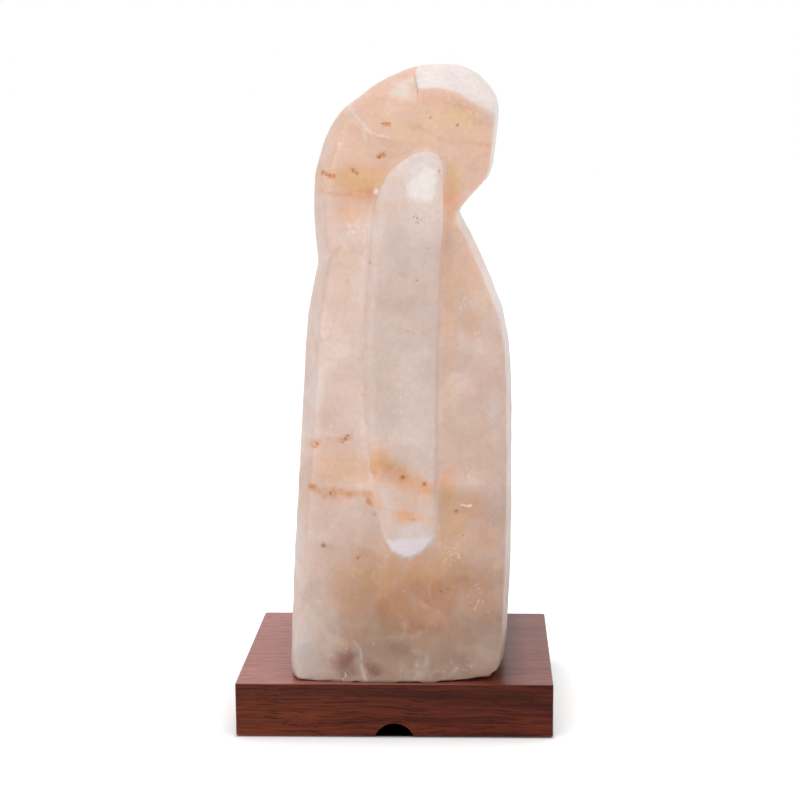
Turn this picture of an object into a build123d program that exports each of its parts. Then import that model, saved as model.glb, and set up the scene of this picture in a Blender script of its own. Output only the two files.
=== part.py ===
from build123d import *
import os
from math import cos, pi, radians, sin, sqrt

# Salt crystal lamp: a carved rock-salt figure screwed to a wooden plinth, lit by a small screw-in bulb
# whose holder is held in the bore of the plinth and the salt by two spring clips.
# Millimetres, +Z up. The origin is on the surface the lamp stands on, under the middle of the plinth.
# The carved side with the cable groove under it looks along -Y. "Height" in the carving is above the seat,
# which is the top of the plinth.

# ---------------------------------------------------------------- driving sizes
# Plinth and feet
plinth_width = 145.0
plinth_depth = 110.0
plinth_thickness = 24.8
plinth_corner_radius = 1.2
plinth_top_round = 0.7
plinth_under_chamfer = 0.4
pad_thickness = 1.2
pad_proud = 0.4
pad_radius = 6.5
pad_edge_gap = 4.0

# Cable groove, cut by a round-nosed cutter that runs partly outside the board
groove_cutter_radius = 9.4
groove_depth = 6.2

# Lamp bore, through the plinth and up into the salt
bore_radius = 25.0
bore_roof_radius = 5.0

# Screws and nylon plugs that hold the salt down
screw_inset_x = 10.5
screw_inset_y = 21.0
screw_radius = 1.9
screw_length = 40.0
screw_point = 5.0
screw_head_radius = 3.8
screw_head_height = 2.4
screw_head_crown = 1.0
cross_recess_width = 0.9
cross_recess_depth = 1.3
counterbore_gap = 0.8
counterbore_depth = 9.0
plug_wall = 1.5
plug_beyond_screw = 5.8
plug_slit = 0.8

# Salt block
figure_height = 277.8
block_setback = 1.0
face_bow = 3.2
flat_from, flat_to = 0.36, 0.66
left_bevel_width = 7.0
left_bevel_depth = 15.0
right_bevel_width = 3.8
right_bevel_depth = 22.0
full_bevel_width = 70.0
full_bevel_depth = 35.0

# Two bevels ground across the top of the head, on each face, from a step near its middle to its right:
# (height of the lower edge at the step, its fall to the right)
crown_bevels = [(266.7, -0.03), (273.6, 0.52)]
crown_bevel_left = 10.0
crown_bevel_inset = 22.6
crown_bevel_rise = 0.95
crown_cutter_size = 90.0

# Lampholder
cap_above_floor = 18.0
holder_radius = 14.0
holder_wall = 1.8
cap_height = 17.0
cap_floor = 2.5
cap_round = 3.0
spigot_wall = 1.6
spigot_height = 5.0
inlet_radius = 3.5
inlet_boss_wall = 2.5
inlet_boss_height = 2.5
sleeve_height = 34.0
sleeve_lip = 1.5
sleeve_lip_round = 0.75
sleeve_mouth_gap = 1.45
sleeve_ledge = 1.3
flange_overhang = 2.3
flange_thickness = 2.4
flange_below_top = 15.4
collar_wall = 3.6
collar_height = 5.0
collar_notch_count = 12
collar_notch_radius = 1.1
carrier_wall = 0.7
carrier_roof = 3.65
terminal_length = 5.5
terminal_width = 5.0
terminal_height = 4.6
wire_hole_radius = 0.9
terminal_screw_radius = 1.2
terminal_screw_length = 2.1
terminal_screw_head_radius = 2.0
terminal_screw_head_height = 1.6
contact_gauge = 0.4
contact_width = 4.0
contact_rise = 1.0
contact_foot = 1.0
tongue_reach = 3.0
side_contact_rise = 5.5
shell_gauge = 0.4
shell_height = 17.0
shell_floor_width = 3.3
rivet_radius = 0.8
rivet_head_radius = 1.4
rivet_head_height = 0.5

# Spring clips
clip_width = 9.0
clip_gauge = 0.5
clip_roll_radius = 1.2
clip_roll_inset = 0.1
clip_drop = 23.0
clip_toe_drop = 5.0
clip_toe_in = 2.4

# Bulb with a 14 mm screw cap
bulb_length = 58.0
bulb_radius = 11.5
glass_wall = 0.7
glass_straight = 3.8
neck_straight = 2.0
neck_in_cap = 5.0
shoulder_pull = 0.43
bulb_cap_radius = 6.95
bulb_cap_gauge = 0.35
bulb_cap_length = 16.0
bulb_tip_radius = 2.4
bulb_tip_height = 1.1
insulator_height = 2.6
insulator_step = 0.4
insulator_slope = 1.2
stem_tube_radius = 2.4
stem_flare_share = 0.25
wire_radius = 0.3
wire_root_offset = 1.3
wire_root_straight = 1.5
wire_bend_radius = 1.0
wire_top_straight = 4.8
filament_radius = 0.35
filament_arch_radius = 6.0
filament_leg = 12.0
filament_below_top = 18.3
thread_pitch = 2.822
unscrew_turns = 4.5
bulb_headroom = 10.0

# Clearances, and how far a cutting tool runs past what it cuts
fit_gap = 0.1
seat_gap = 0.2
clip_gap = 0.3
contact_gap = 0.15
thread_gap = 0.35
overrun = 1.0

# The carver's stations: height above the seat on the pattern, then how far the figure reaches to the left and
# right of the bore's axis, then how far its crown lies behind the block's face. The robe closes in a pointed
# arch under the arm, and the bowed head rises out of it. The pattern ends at the last height given, and its
# heights are stretched to the height of the figure.
robe_stations = [
    (0.0, 48.0, 46.5, 0.3),
    (5.0, 49.0, 50.4, 0.9),
    (20.0, 48.9, 52.1, 2.6),
    (50.0, 47.4, 53.4, 5.2),
    (80.0, 45.8, 53.8, 6.8),
    (108.0, 43.8, 53.9, 7.8),
    (136.0, 42.0, 53.4, 8.8),
    (152.0, 41.2, 52.2, 9.4),
    (165.0, 39.9, 49.8, 10.2),
    (173.0, 38.6, 46.4, 10.8),
    (190.0, 35.4, 39.3, 12.4),
    (200.0, 28.4, 34.6, 13.6),
    (210.0, 17.0, 28.6, 15.2),
    (217.0, 6.0, 25.5, 17.0),
]
head_stations = [
    (170.0, 30.0, 26.0, 20.0),
    (189.0, 35.2, 27.0, 18.5),
    (194.0, 36.2, 27.4, 18.0),
    (202.0, 37.0, 27.8, 17.4),
    (210.0, 37.1, 29.0, 17.0),
    (214.0, 37.1, 30.6, 17.0),
    (218.0, 37.0, 34.0, 17.0),
    (223.0, 36.8, 38.6, 17.0),
    (228.0, 36.2, 43.0, 17.1),
    (233.5, 35.1, 44.7, 17.3),
    (244.0, 32.2, 46.1, 18.0),
    (251.0, 29.0, 46.9, 18.8),
    (258.0, 23.6, 47.4, 19.8),
    (263.0, 16.4, 46.6, 21.0),
    (268.5, 9.2, 43.1, 23.4),
    (272.8, 1.6, 38.9, 26.6),
    (276.4, -7.8, 32.4, 31.0),
    (277.8, -12.4, 28.0, 35.0),
]

# The raised arm, from its lower tip up its left edge, over its rounded top and down its right edge: the foot
# of its side, and the smaller edge of its flat front, as distance right of the bore's axis and height.
arm_foot = [
    (6.1, 58.0), (-0.8, 61.4), (-5.0, 68.0), (-7.6, 82.0), (-10.6, 97.0), (-13.0, 125.0), (-13.6, 150.0),
    (-12.6, 172.0), (-10.6, 195.0), (-7.0, 221.0), (-2.6, 229.5), (3.8, 235.6), (9.6, 238.8), (15.6, 240.2),
    (20.4, 238.4), (22.9, 233.0), (22.4, 205.0), (21.2, 155.0), (20.0, 96.0), (19.8, 74.0), (17.6, 67.4),
    (12.8, 61.4),
]
arm_front = [
    (6.8, 69.0), (2.0, 71.5), (-0.6, 76.0), (-3.8, 86.0), (-7.0, 99.0), (-9.6, 125.0), (-10.2, 150.0),
    (-9.0, 172.0), (-6.8, 194.0), (-2.8, 212.0), (1.0, 217.5), (5.4, 221.5), (9.6, 223.6), (13.8, 224.4),
    (17.6, 223.0), (20.0, 218.5), (20.4, 200.0), (19.6, 155.0), (18.4, 98.0), (17.8, 81.0), (15.4, 74.8),
    (11.6, 71.0),
]
arm_plane_height = 60.0
arm_front_inset = 0.8
arm_lean = 0.040
arm_bevel_depth = 3.6
arm_root_inset = 30.0

# ---------------------------------------------------------------- levels and places worked out from them
board_under = pad_proud
seat = board_under + plinth_thickness
block_depth = plinth_depth - 2 * block_setback
stretch = figure_height / head_stations[-1][0]
cap_under = cap_above_floor
sleeve_under = cap_under + cap_height
sleeve_top = sleeve_under + sleeve_height
carrier_under = sleeve_under + spigot_height
carrier_radius = holder_radius - holder_wall - fit_gap
pocket_height = terminal_height + contact_gap + contact_gauge + seat_gap
carrier_top = carrier_under + pocket_height + carrier_roof
terminal_offset = sqrt((carrier_radius - carrier_wall) ** 2 - (terminal_width / 2) ** 2) - terminal_length / 2
shell_radius = bulb_cap_radius + thread_gap + shell_gauge
shell_eye_radius = shell_radius - shell_floor_width
rivet_offset = (shell_radius - shell_gauge + shell_eye_radius) / 2
flange_radius = holder_radius + flange_overhang
flange_top = sleeve_top - flange_below_top + flange_thickness
pivot_height = flange_top + seat_gap + clip_roll_radius
pivot_offset = flange_radius - clip_roll_inset
collar_under = pivot_height + clip_roll_radius + seat_gap
contact_top = carrier_top + shell_gauge + contact_rise
bulb_tip_under = contact_top + contact_gap
insulator_under = bulb_tip_under + bulb_tip_height
bulb_cap_under = insulator_under + insulator_height
bulb_cap_top = bulb_cap_under + bulb_cap_length
glass_under = bulb_cap_top - neck_in_cap
neck_radius = bulb_cap_radius - bulb_cap_gauge - fit_gap
bulb_top = bulb_tip_under + bulb_length
filament_level = bulb_top - filament_below_top
stem_top = filament_level - filament_leg
unscrew_travel = unscrew_turns * thread_pitch
bore_roof = bulb_top + unscrew_travel + bulb_headroom
screw_seat = board_under + counterbore_depth
counterbore_radius = screw_head_radius + counterbore_gap
plug_bore = screw_radius + fit_gap / 2
plug_radius = plug_bore + plug_wall
plug_top = screw_seat + screw_length + plug_beyond_screw
foot_right = robe_stations[0][2]
screw_places = [
    (x, side * (block_depth / 2 - screw_inset_y))
    for x in (screw_inset_x - foot_right, foot_right - screw_inset_x)
    for side in (-1, 1)
]
pad_places = [
    (
        side_x * (plinth_width / 2 - pad_edge_gap - pad_radius),
        side_y * (plinth_depth / 2 - pad_edge_gap - pad_radius),
    )
    for side_x in (-1, 1)
    for side_y in (-1, 1)
]


# ---------------------------------------------------------------- helpers
def disc(radius, low, high, x=0.0, y=0.0):
    """An upright cylinder from one height to another."""
    return Pos(x, y, (low + high) / 2) * Cylinder(radius, high - low)


def ring(outer, inner, low, high):
    """An upright tube from one height to another."""
    return disc(outer, low, high) - disc(inner, low - overrun, high + overrun)


def turned(points):
    """A solid turned about the Z axis from (radius, height) points."""
    outline = Polyline(*[(radius, 0, height) for radius, height in points], close=True)
    return revolve(make_face(outline), Axis.Z)


def strip(points, gauge, width):
    """A bent sheet-metal strip: (x, z) points along its middle, with mitred bends, and its width along Y."""
    near, far = [], []
    for index, (x, z) in enumerate(points):
        before = Vector(*points[max(index - 1, 0)], 0)
        after = Vector(*points[min(index + 1, len(points) - 1)], 0)
        here = Vector(x, z, 0)
        ways = [way.normalized() for way in (here - before, after - here) if way.length > 0]
        mean = sum(ways, Vector(0, 0, 0)).normalized()
        side = Vector(-mean.Y, mean.X, 0) * (gauge / 2 / mean.dot(ways[0]))
        near.append((x - side.X, z - side.Y))
        far.append((x + side.X, z + side.Y))
    outline = Polyline(*[(x, -width / 2, z) for x, z in near + far[::-1]], close=True)
    return extrude(make_face(outline), width, dir=(0, 1, 0))


# ---------------------------------------------------------------- plinth, feet and fixings
def make_plinth():
    """The board: bored for the lamp, grooved underneath for the cable, with sockets for feet and screws."""
    board = Pos(0, 0, board_under + plinth_thickness / 2) * Box(plinth_width, plinth_depth, plinth_thickness)
    board = fillet(board.edges().filter_by(Axis.Z), plinth_corner_radius)
    board = fillet(board.faces().sort_by(Axis.Z)[-1].edges(), plinth_top_round)
    board = chamfer(board.faces().sort_by(Axis.Z)[0].edges(), plinth_under_chamfer)
    board -= disc(bore_radius, board_under - overrun, seat + overrun)
    groove_length = plinth_depth / 2 + overrun
    cutter_height = board_under + groove_depth - groove_cutter_radius
    cutter = Rot(90, 0, 0) * Cylinder(groove_cutter_radius, groove_length)
    board -= Pos(0, -groove_length / 2, cutter_height) * cutter
    for x, y in pad_places:
        board -= disc(pad_radius + seat_gap, board_under - overrun, pad_thickness, x, y)
    for x, y in screw_places:
        board -= disc(counterbore_radius, board_under - overrun, screw_seat, x, y)
        board -= disc(screw_radius + seat_gap, screw_seat - overrun, seat + overrun, x, y)
    return board


def make_pads():
    """Four felt pads stuck in shallow sockets under the corners, a little proud of the board."""
    return [disc(pad_radius, 0, pad_thickness, x, y) for x, y in pad_places]


def make_screws():
    """Four screws driven upwards, with crowned heads and a cross recess in each."""
    head_under = screw_seat - screw_head_height
    screw = turned([
        (0, head_under),
        (screw_head_radius - screw_head_crown, head_under),
        (screw_head_radius, head_under + screw_head_crown),
        (screw_head_radius, screw_seat),
        (screw_radius, screw_seat),
        (screw_radius, screw_seat + screw_length - screw_point),
        (0, screw_seat + screw_length),
    ])
    for length, width in ((screw_head_radius, cross_recess_width), (cross_recess_width, screw_head_radius)):
        screw -= Pos(0, 0, head_under) * Box(length, width, cross_recess_depth * 2)
    return [Pos(x, y, 0) * screw for x, y in screw_places]


def make_plugs():
    """Four nylon plugs in the salt, split at the far end so that the screw spreads them."""
    slit_length = (plug_top - seat) / 2
    plug = ring(plug_radius, plug_bore, seat, plug_top)
    plug -= Pos(0, 0, plug_top) * Box(plug_slit, plug_radius * 3, slit_length * 2)
    return [Pos(x, y, 0) * plug for x, y in screw_places]


# ---------------------------------------------------------------- the carved salt
def plan_outline(height, left, right, inset):
    """The figure's twelve-sided outline at one height, the same towards the front and the back."""
    half = block_depth / 2 - inset
    width = left + right
    share = min(1.0, width / full_bevel_width, half / full_bevel_depth)
    left_in, left_back = left_bevel_width * share, left_bevel_depth * share
    right_in, right_back = right_bevel_width * share, right_bevel_depth * share
    bow = face_bow * share
    front = [
        (-left, -(half - left_back)),
        (-left + left_in, -(half - bow)),
        (-left + width * flat_from, -half),
        (-left + width * flat_to, -half),
        (right - right_in, -(half - bow)),
        (right, -(half - right_back)),
    ]
    back = [(x, -y) for x, y in front[::-1]]
    return Wire.make_polygon([(x, y, seat + height * stretch) for x, y in front + back], close=True)


def make_arm(side):
    """The raised arm, on the front for -1 or the back for 1: straight sides, then a bevel to a flat face."""

    def edge(points, behind):
        level = block_depth / 2 - arm_front_inset - behind
        path = [
            (x, side * (level - arm_lean * (height - arm_plane_height)), seat + height * stretch)
            for x, height in points
        ]
        return Wire.make_polygon(path, close=True)

    root, foot, front = edge(arm_foot, arm_root_inset), edge(arm_foot, arm_bevel_depth), edge(arm_front, 0)
    return Solid.make_loft([root, foot], ruled=True) + Solid.make_loft([foot, front], ruled=True)


def make_crown_cutter(side, height, fall):
    """What a crown bevel takes off one face: all above a plane that falls right and rises backwards."""
    level = side * (block_depth / 2 - crown_bevel_inset)
    along, back = Vector(1, 0, -fall), Vector(0, -side, crown_bevel_rise)
    corner = (crown_bevel_left, level, seat + height * stretch)
    size = crown_cutter_size
    slab = Plane(origin=corner, x_dir=along, z_dir=along.cross(back) * -side)
    slab = slab * Pos(0, 0, size / 2) * Box(size * 2, size, size)
    return slab & Pos(crown_bevel_left + size, level, corner[2]) * Box(size * 2, size, size)


def make_salt():
    """Robe, bowed and bevelled head and an arm on each face, bored and drilled for lamp and plugs."""
    salt = Solid.make_loft([plan_outline(*station) for station in robe_stations], ruled=True)
    salt += Solid.make_loft([plan_outline(*station) for station in head_stations], ruled=True)
    for side in (-1, 1):
        for height, fall in crown_bevels:
            salt -= make_crown_cutter(side, height, fall)
        salt += make_arm(side)
    bore = disc(bore_radius, seat - overrun, bore_roof)
    bore = fillet(bore.faces().sort_by(Axis.Z)[-1].edges(), bore_roof_radius)
    salt -= bore
    for x, y in screw_places:
        salt -= disc(plug_radius + fit_gap / 2, seat - overrun, plug_top + seat_gap, x, y)
    return salt


# ---------------------------------------------------------------- lampholder
def make_holder_cap():
    """The lower cup of the holder, with the cable inlet in its floor and a spigot that enters the sleeve."""
    floor_top = cap_under + cap_floor
    cap = disc(holder_radius, cap_under, sleeve_under)
    cap = fillet(cap.faces().sort_by(Axis.Z)[0].edges(), cap_round)
    cap += disc(carrier_radius, sleeve_under, carrier_under)
    cap -= disc(carrier_radius - spigot_wall, floor_top, carrier_under + overrun)
    cap += disc(inlet_radius + inlet_boss_wall, cap_under - inlet_boss_height, floor_top)
    cap -= disc(inlet_radius, cap_under - inlet_boss_height - overrun, floor_top + overrun)
    return cap


def make_sleeve():
    """The upper shell: a tube whose ledge holds the carrier down, with a lip and a flange for the clips."""
    inner = holder_radius - holder_wall
    sleeve = disc(holder_radius, sleeve_under, sleeve_top)
    sleeve = fillet(sleeve.faces().sort_by(Axis.Z)[-1].edges(), sleeve_lip_round)
    sleeve += disc(flange_radius, flange_top - flange_thickness, flange_top)
    sleeve -= disc(inner, sleeve_under - overrun, carrier_top + fit_gap)
    sleeve -= disc(inner - sleeve_ledge, sleeve_under, sleeve_top - sleeve_lip)
    sleeve -= disc(bulb_cap_radius + sleeve_mouth_gap, sleeve_under, sleeve_top + overrun)
    return sleeve


def make_collar():
    """The ring nut that traps the clips' rolled ends, with finger notches round its rim."""
    outer = holder_radius + fit_gap + collar_wall
    collar = ring(outer, holder_radius + fit_gap, collar_under, collar_under + collar_height)
    for index in range(collar_notch_count):
        turn = radians(360 / collar_notch_count * (index + 0.5))
        notch = disc(collar_notch_radius, collar_under - overrun, collar_under + collar_height + overrun)
        collar -= Pos(outer * cos(turn), outer * sin(turn), 0) * notch
    return collar


def contact_place(side):
    """Where a contact's leg stands: outside the screw shell on the neutral side, in its eye on the live."""
    if side < 0:
        return -(shell_radius + contact_gap + contact_gauge / 2)
    return sqrt(shell_eye_radius**2 - (contact_width / 2) ** 2) - seat_gap - contact_gauge / 2


def make_carrier():
    """The porcelain insert: pockets for the terminals, slots for the contacts and holes for the rivets."""
    carrier = disc(carrier_radius, carrier_under, carrier_top)
    rivet_hole = disc(rivet_radius + fit_gap / 2, carrier_under - overrun, carrier_top + overrun)
    for side in (-1, 1):
        leg_inside = abs(contact_place(side)) - contact_gauge / 2
        outer_end = terminal_offset + terminal_length / 2 + seat_gap / 2
        inner_end = min(terminal_offset - terminal_length / 2, leg_inside) - seat_gap / 2
        pocket = Box(outer_end - inner_end, terminal_width + seat_gap, pocket_height * 2)
        carrier -= Pos(side * (outer_end + inner_end) / 2, 0, carrier_under) * pocket
        slot = Box(contact_gauge + seat_gap, contact_width + seat_gap, carrier_roof * 3)
        carrier -= Pos(contact_place(side), 0, carrier_top) * slot
        carrier -= Pos(0, side * rivet_offset, 0) * rivet_hole
    return carrier


def make_terminal(side):
    """A brass terminal block, with a hole across it for the wire and a threaded one for its screw."""
    middle = carrier_under + terminal_height / 2
    block = Pos(0, 0, middle) * Box(terminal_length, terminal_width, terminal_height)
    wire_level = carrier_under + terminal_screw_length + seat_gap + wire_hole_radius
    block -= Pos(0, 0, wire_level) * Rot(90, 0, 0) * Cylinder(wire_hole_radius, terminal_width + overrun)
    block -= disc(terminal_screw_radius + fit_gap / 2, carrier_under - overrun, wire_level)
    return Pos(side * terminal_offset, 0, 0) * block


def make_terminal_screws():
    """The two clamping screws, whose slotted heads face down into the cap."""
    head_under = carrier_under - terminal_screw_head_height
    screw = disc(terminal_screw_radius, carrier_under, carrier_under + terminal_screw_length)
    screw += disc(terminal_screw_head_radius, head_under, carrier_under)
    screw -= Pos(0, 0, head_under) * Box(
        terminal_screw_head_radius * 3, contact_gauge, terminal_screw_head_height
    )
    return [Pos(side * terminal_offset, 0, 0) * screw for side in (-1, 1)]


def contact_strip(side, upper_points):
    """A contact: a foot that lies on the terminal, a leg up through its slot, and then the given points."""
    level = carrier_under + terminal_height + contact_gap + contact_gauge / 2
    foot, leg = side * (terminal_offset + contact_foot), contact_place(side)
    return strip([(foot, level), (leg, level)] + upper_points, contact_gauge, contact_width)


def make_centre_contact():
    """The live contact, whose springy tongue bends over to press on the bulb's tip."""
    leg, level = contact_place(1), contact_top - contact_gauge / 2
    tongue = [(leg, level - contact_rise / 2), (leg / 2, level), (-tongue_reach, level)]
    return contact_strip(1, tongue)


def make_side_contact():
    """The neutral contact, a tab that lies against the outside of the screw shell."""
    return contact_strip(-1, [(contact_place(-1), carrier_top + side_contact_rise)])


def make_screw_shell():
    """The thin threaded liner that the bulb's cap screws into, drawn at the thread's mean size."""
    floor_top = carrier_top + shell_gauge
    shell = ring(shell_radius, shell_radius - shell_gauge, carrier_top, carrier_top + shell_height)
    shell += ring(shell_radius - shell_gauge / 2, shell_eye_radius, carrier_top, floor_top)
    for side in (-1, 1):
        shell -= disc(rivet_radius + fit_gap / 2, carrier_under, floor_top + overrun, 0, side * rivet_offset)
    return shell


def make_rivets():
    """Two rivets that fix the screw shell to the carrier."""
    low, high = carrier_under, carrier_top + shell_gauge
    rivet = disc(rivet_radius, low, high)
    rivet += disc(rivet_head_radius, high, high + rivet_head_height)
    rivet += disc(rivet_head_radius, low - rivet_head_height, low)
    return [Pos(0, side * rivet_offset, 0) * rivet for side in (-1, 1)]


# ---------------------------------------------------------------- spring clips
def make_clip(side):
    """One spring clip: a rolled end under the collar, a leg that leans on the bore, and a toe to pinch."""
    roll = Pos(pivot_offset, 0, pivot_height) * Rot(90, 0, 0) * Cylinder(clip_roll_radius, clip_width)
    start = pivot_offset + clip_roll_radius - clip_gauge / 2
    reach = sqrt((bore_radius - clip_gap) ** 2 - (clip_width / 2) ** 2) - clip_gauge / 2
    heel = pivot_height - clip_drop
    leg = [(start, pivot_height), (reach, heel), (reach - clip_toe_in, heel - clip_toe_drop)]
    clip = roll + strip(leg, clip_gauge, clip_width)
    return clip if side > 0 else clip.mirror(Plane.YZ)


# ---------------------------------------------------------------- bulb
def glass_body(inward):
    """The bulb's turned form, drawn in by the given wall."""
    neck, body, crown = neck_radius - inward, bulb_radius - inward, bulb_top - bulb_radius
    neck_top, shoulder_top = bulb_cap_top + neck_straight, crown - glass_straight
    pull = (shoulder_top - neck_top) * shoulder_pull
    side = Line((neck, 0, glass_under), (neck, 0, neck_top))
    swell = Bezier(side @ 1, (neck, 0, neck_top + pull), (body, 0, neck_top + pull), (body, 0, shoulder_top))
    wall = Line(swell @ 1, (body, 0, crown))
    round_off = body * cos(radians(45))
    dome = ThreePointArc(wall @ 1, (round_off, 0, crown + round_off), (0, 0, crown + body))
    axis = Polyline(dome @ 1, (0, 0, glass_under), side @ 0)
    return revolve(make_face([side, swell, wall, dome, axis]), Axis.Z)


def make_glass():
    """The clear envelope, open at the neck where the stem closes it."""
    return glass_body(0) - glass_body(glass_wall)


def make_bulb_tip():
    """The tip contact at the very bottom of the bulb."""
    return disc(bulb_tip_radius, bulb_tip_under, insulator_under)


def make_bulb_cap():
    """The thin metal screw cap, drawn at the thread's mean size."""
    floor_radius = bulb_cap_radius - bulb_cap_gauge / 2
    cap = ring(bulb_cap_radius, bulb_cap_radius - bulb_cap_gauge, bulb_cap_under, bulb_cap_top)
    return cap + ring(floor_radius, bulb_tip_radius, bulb_cap_under, bulb_cap_under + bulb_cap_gauge)


def make_insulator():
    """The black glass between the cap and the tip."""
    return turned([
        (0, insulator_under),
        (bulb_tip_radius + insulator_step, insulator_under),
        (bulb_cap_radius - insulator_slope, bulb_cap_under),
        (0, bulb_cap_under),
    ])


def make_stem():
    """The glass stem: a flare that closes the neck, and a tube that carries the wires."""
    flare_top = glass_under + (stem_top - glass_under) * stem_flare_share
    return turned([
        (0, glass_under),
        (neck_radius - glass_wall - fit_gap, glass_under),
        (stem_tube_radius, flare_top),
        (stem_tube_radius, stem_top),
        (0, stem_top),
    ])


def make_lead_wires():
    """Two wires that spread from the stem to the ends of the filament."""
    wires = []
    for side in (-1, 1):
        root = (side * wire_root_offset, 0, stem_top)
        path = FilletPolyline(
            root,
            (side * wire_root_offset, 0, stem_top + wire_root_straight),
            (side * filament_arch_radius, 0, filament_level - wire_top_straight),
            (side * filament_arch_radius, 0, filament_level),
            radius=wire_bend_radius,
        )
        wires.append(sweep(Plane(origin=root, z_dir=(0, 0, 1)) * Circle(wire_radius), path=path))
    return wires


def make_filament():
    """The filament's arch between the wires' ends."""
    start = Plane(origin=(filament_arch_radius, 0, 0), z_dir=(0, 1, 0))
    arch = sweep(start * Circle(filament_radius), path=CenterArc((0, 0, 0), filament_arch_radius, 0, 180))
    return Pos(0, 0, filament_level) * Rot(90, 0, 0) * arch


# ---------------------------------------------------------------- build and write
pieces = {
    "salt_block": make_salt(),
    "wood_plinth": make_plinth(),
    "felt_pads": make_pads(),
    "plinth_screws": make_screws(),
    "screw_plugs": make_plugs(),
    "holder_cap": make_holder_cap(),
    "holder_sleeve": make_sleeve(),
    "collar_ring": make_collar(),
    "contact_carrier": make_carrier(),
    "live_terminal": make_terminal(1),
    "neutral_terminal": make_terminal(-1),
    "terminal_screws": make_terminal_screws(),
    "centre_contact": make_centre_contact(),
    "side_contact": make_side_contact(),
    "screw_shell": make_screw_shell(),
    "shell_rivets": make_rivets(),
    "spring_clip_left": make_clip(-1),
    "spring_clip_right": make_clip(1),
    "bulb_tip": make_bulb_tip(),
    "bulb_insulator": make_insulator(),
    "bulb_cap": make_bulb_cap(),
    "bulb_glass": make_glass(),
    "bulb_stem": make_stem(),
    "lead_wires": make_lead_wires(),
    "filament": make_filament(),
}

os.makedirs("parts", exist_ok=True)
for name, piece in pieces.items():
    solids = piece if isinstance(piece, list) else piece.solids()
    export_step(Compound(children=list(solids)), f"parts/{name}.step")
    print(name, len(solids), "solid(s),", round(sum(solid.volume for solid in solids)), "mm3")

print("Seat", seat, "clip pivot", pivot_offset, pivot_height, "bulb top", bulb_top, "bore roof", bore_roof)
print("Bulb rises", unscrew_travel, "in all, and per radian", thread_pitch / (2 * pi))
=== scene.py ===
# %% [markdown]
# # A salt crystal lamp
# A carved figure of pink rock salt stands on a varnished hardwood plinth. A small screw-in bulb sits in a
# bore under it, in a holder that two spring clips keep in place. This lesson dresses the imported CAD
# model: the block of salt is carved again from the CAD solid, and the small metal parts get their threads
# and windings.

# %% Load the frame
import math

import bmesh
import bpy
import numpy as np
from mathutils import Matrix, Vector


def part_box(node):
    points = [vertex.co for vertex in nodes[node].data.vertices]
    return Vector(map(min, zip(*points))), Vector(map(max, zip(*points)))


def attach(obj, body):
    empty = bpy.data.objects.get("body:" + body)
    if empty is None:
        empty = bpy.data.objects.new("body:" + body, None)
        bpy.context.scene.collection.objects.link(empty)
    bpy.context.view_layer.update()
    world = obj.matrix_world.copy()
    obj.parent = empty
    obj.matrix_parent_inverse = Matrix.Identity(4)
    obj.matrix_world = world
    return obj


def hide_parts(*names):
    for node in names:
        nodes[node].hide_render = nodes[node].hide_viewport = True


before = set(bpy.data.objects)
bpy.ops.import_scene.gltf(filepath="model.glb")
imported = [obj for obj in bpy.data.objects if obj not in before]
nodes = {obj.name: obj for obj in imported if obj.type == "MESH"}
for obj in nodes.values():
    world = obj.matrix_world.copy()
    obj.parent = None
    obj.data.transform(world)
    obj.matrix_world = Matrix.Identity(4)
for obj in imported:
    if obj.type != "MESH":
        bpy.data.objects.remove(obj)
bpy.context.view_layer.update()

mm = 0.001
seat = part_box("salt_block")[0].z
print("Plinth top", round(seat / mm, 2), "mm, CAD nodes", len(nodes))

# %% [markdown]
# ## The camera
# The photograph was taken from just above the middle of the figure with a longish lens, from about 0.78
# m. The camera is set by numbers that bring the corners of the plinth and the outline of the salt onto
# their places in the picture. An aimed helper could do this, but fixed numbers say exactly where it
# stands.

# %% Camera
picture_width = 800
focal_pixels = 1668.856
camera_data = bpy.data.cameras.new("studio_camera")
camera_data.sensor_width = 36.0
camera_data.lens = focal_pixels / picture_width * camera_data.sensor_width
camera_data.shift_x = -0.068472
camera = bpy.data.objects.new("studio_camera", camera_data)
camera.location = (0.038680, -0.779368, 0.282756)
tilt_down, turn_left = 0.172542, 0.015233
camera.rotation_euler = (math.pi / 2 - tilt_down, 0, turn_left)
bpy.context.scene.collection.objects.link(camera)
bpy.context.scene.camera = camera
bpy.context.scene.view_settings.view_transform = "Standard"
print("Lens", round(camera_data.lens, 1), "mm")

# %% [markdown]
# ## Helpers for node trees
# Colours are written as sRGB hex values, as one would pick them from a paint card, and turned to linear
# values. One function adds a node, sets it up and links it, for materials and geometry alike.

# %% Colour and node helpers
def linear(hex_colour):
    """A colour such as "#d9c0b4" as linear red, green, blue and alpha."""
    parts = [int(hex_colour[i:i + 2], 16) / 255 for i in (1, 3, 5)]
    return tuple(p / 12.92 if p <= 0.04045 else ((p + 0.055) / 1.055) ** 2.4 for p in parts) + (1.0,)


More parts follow.
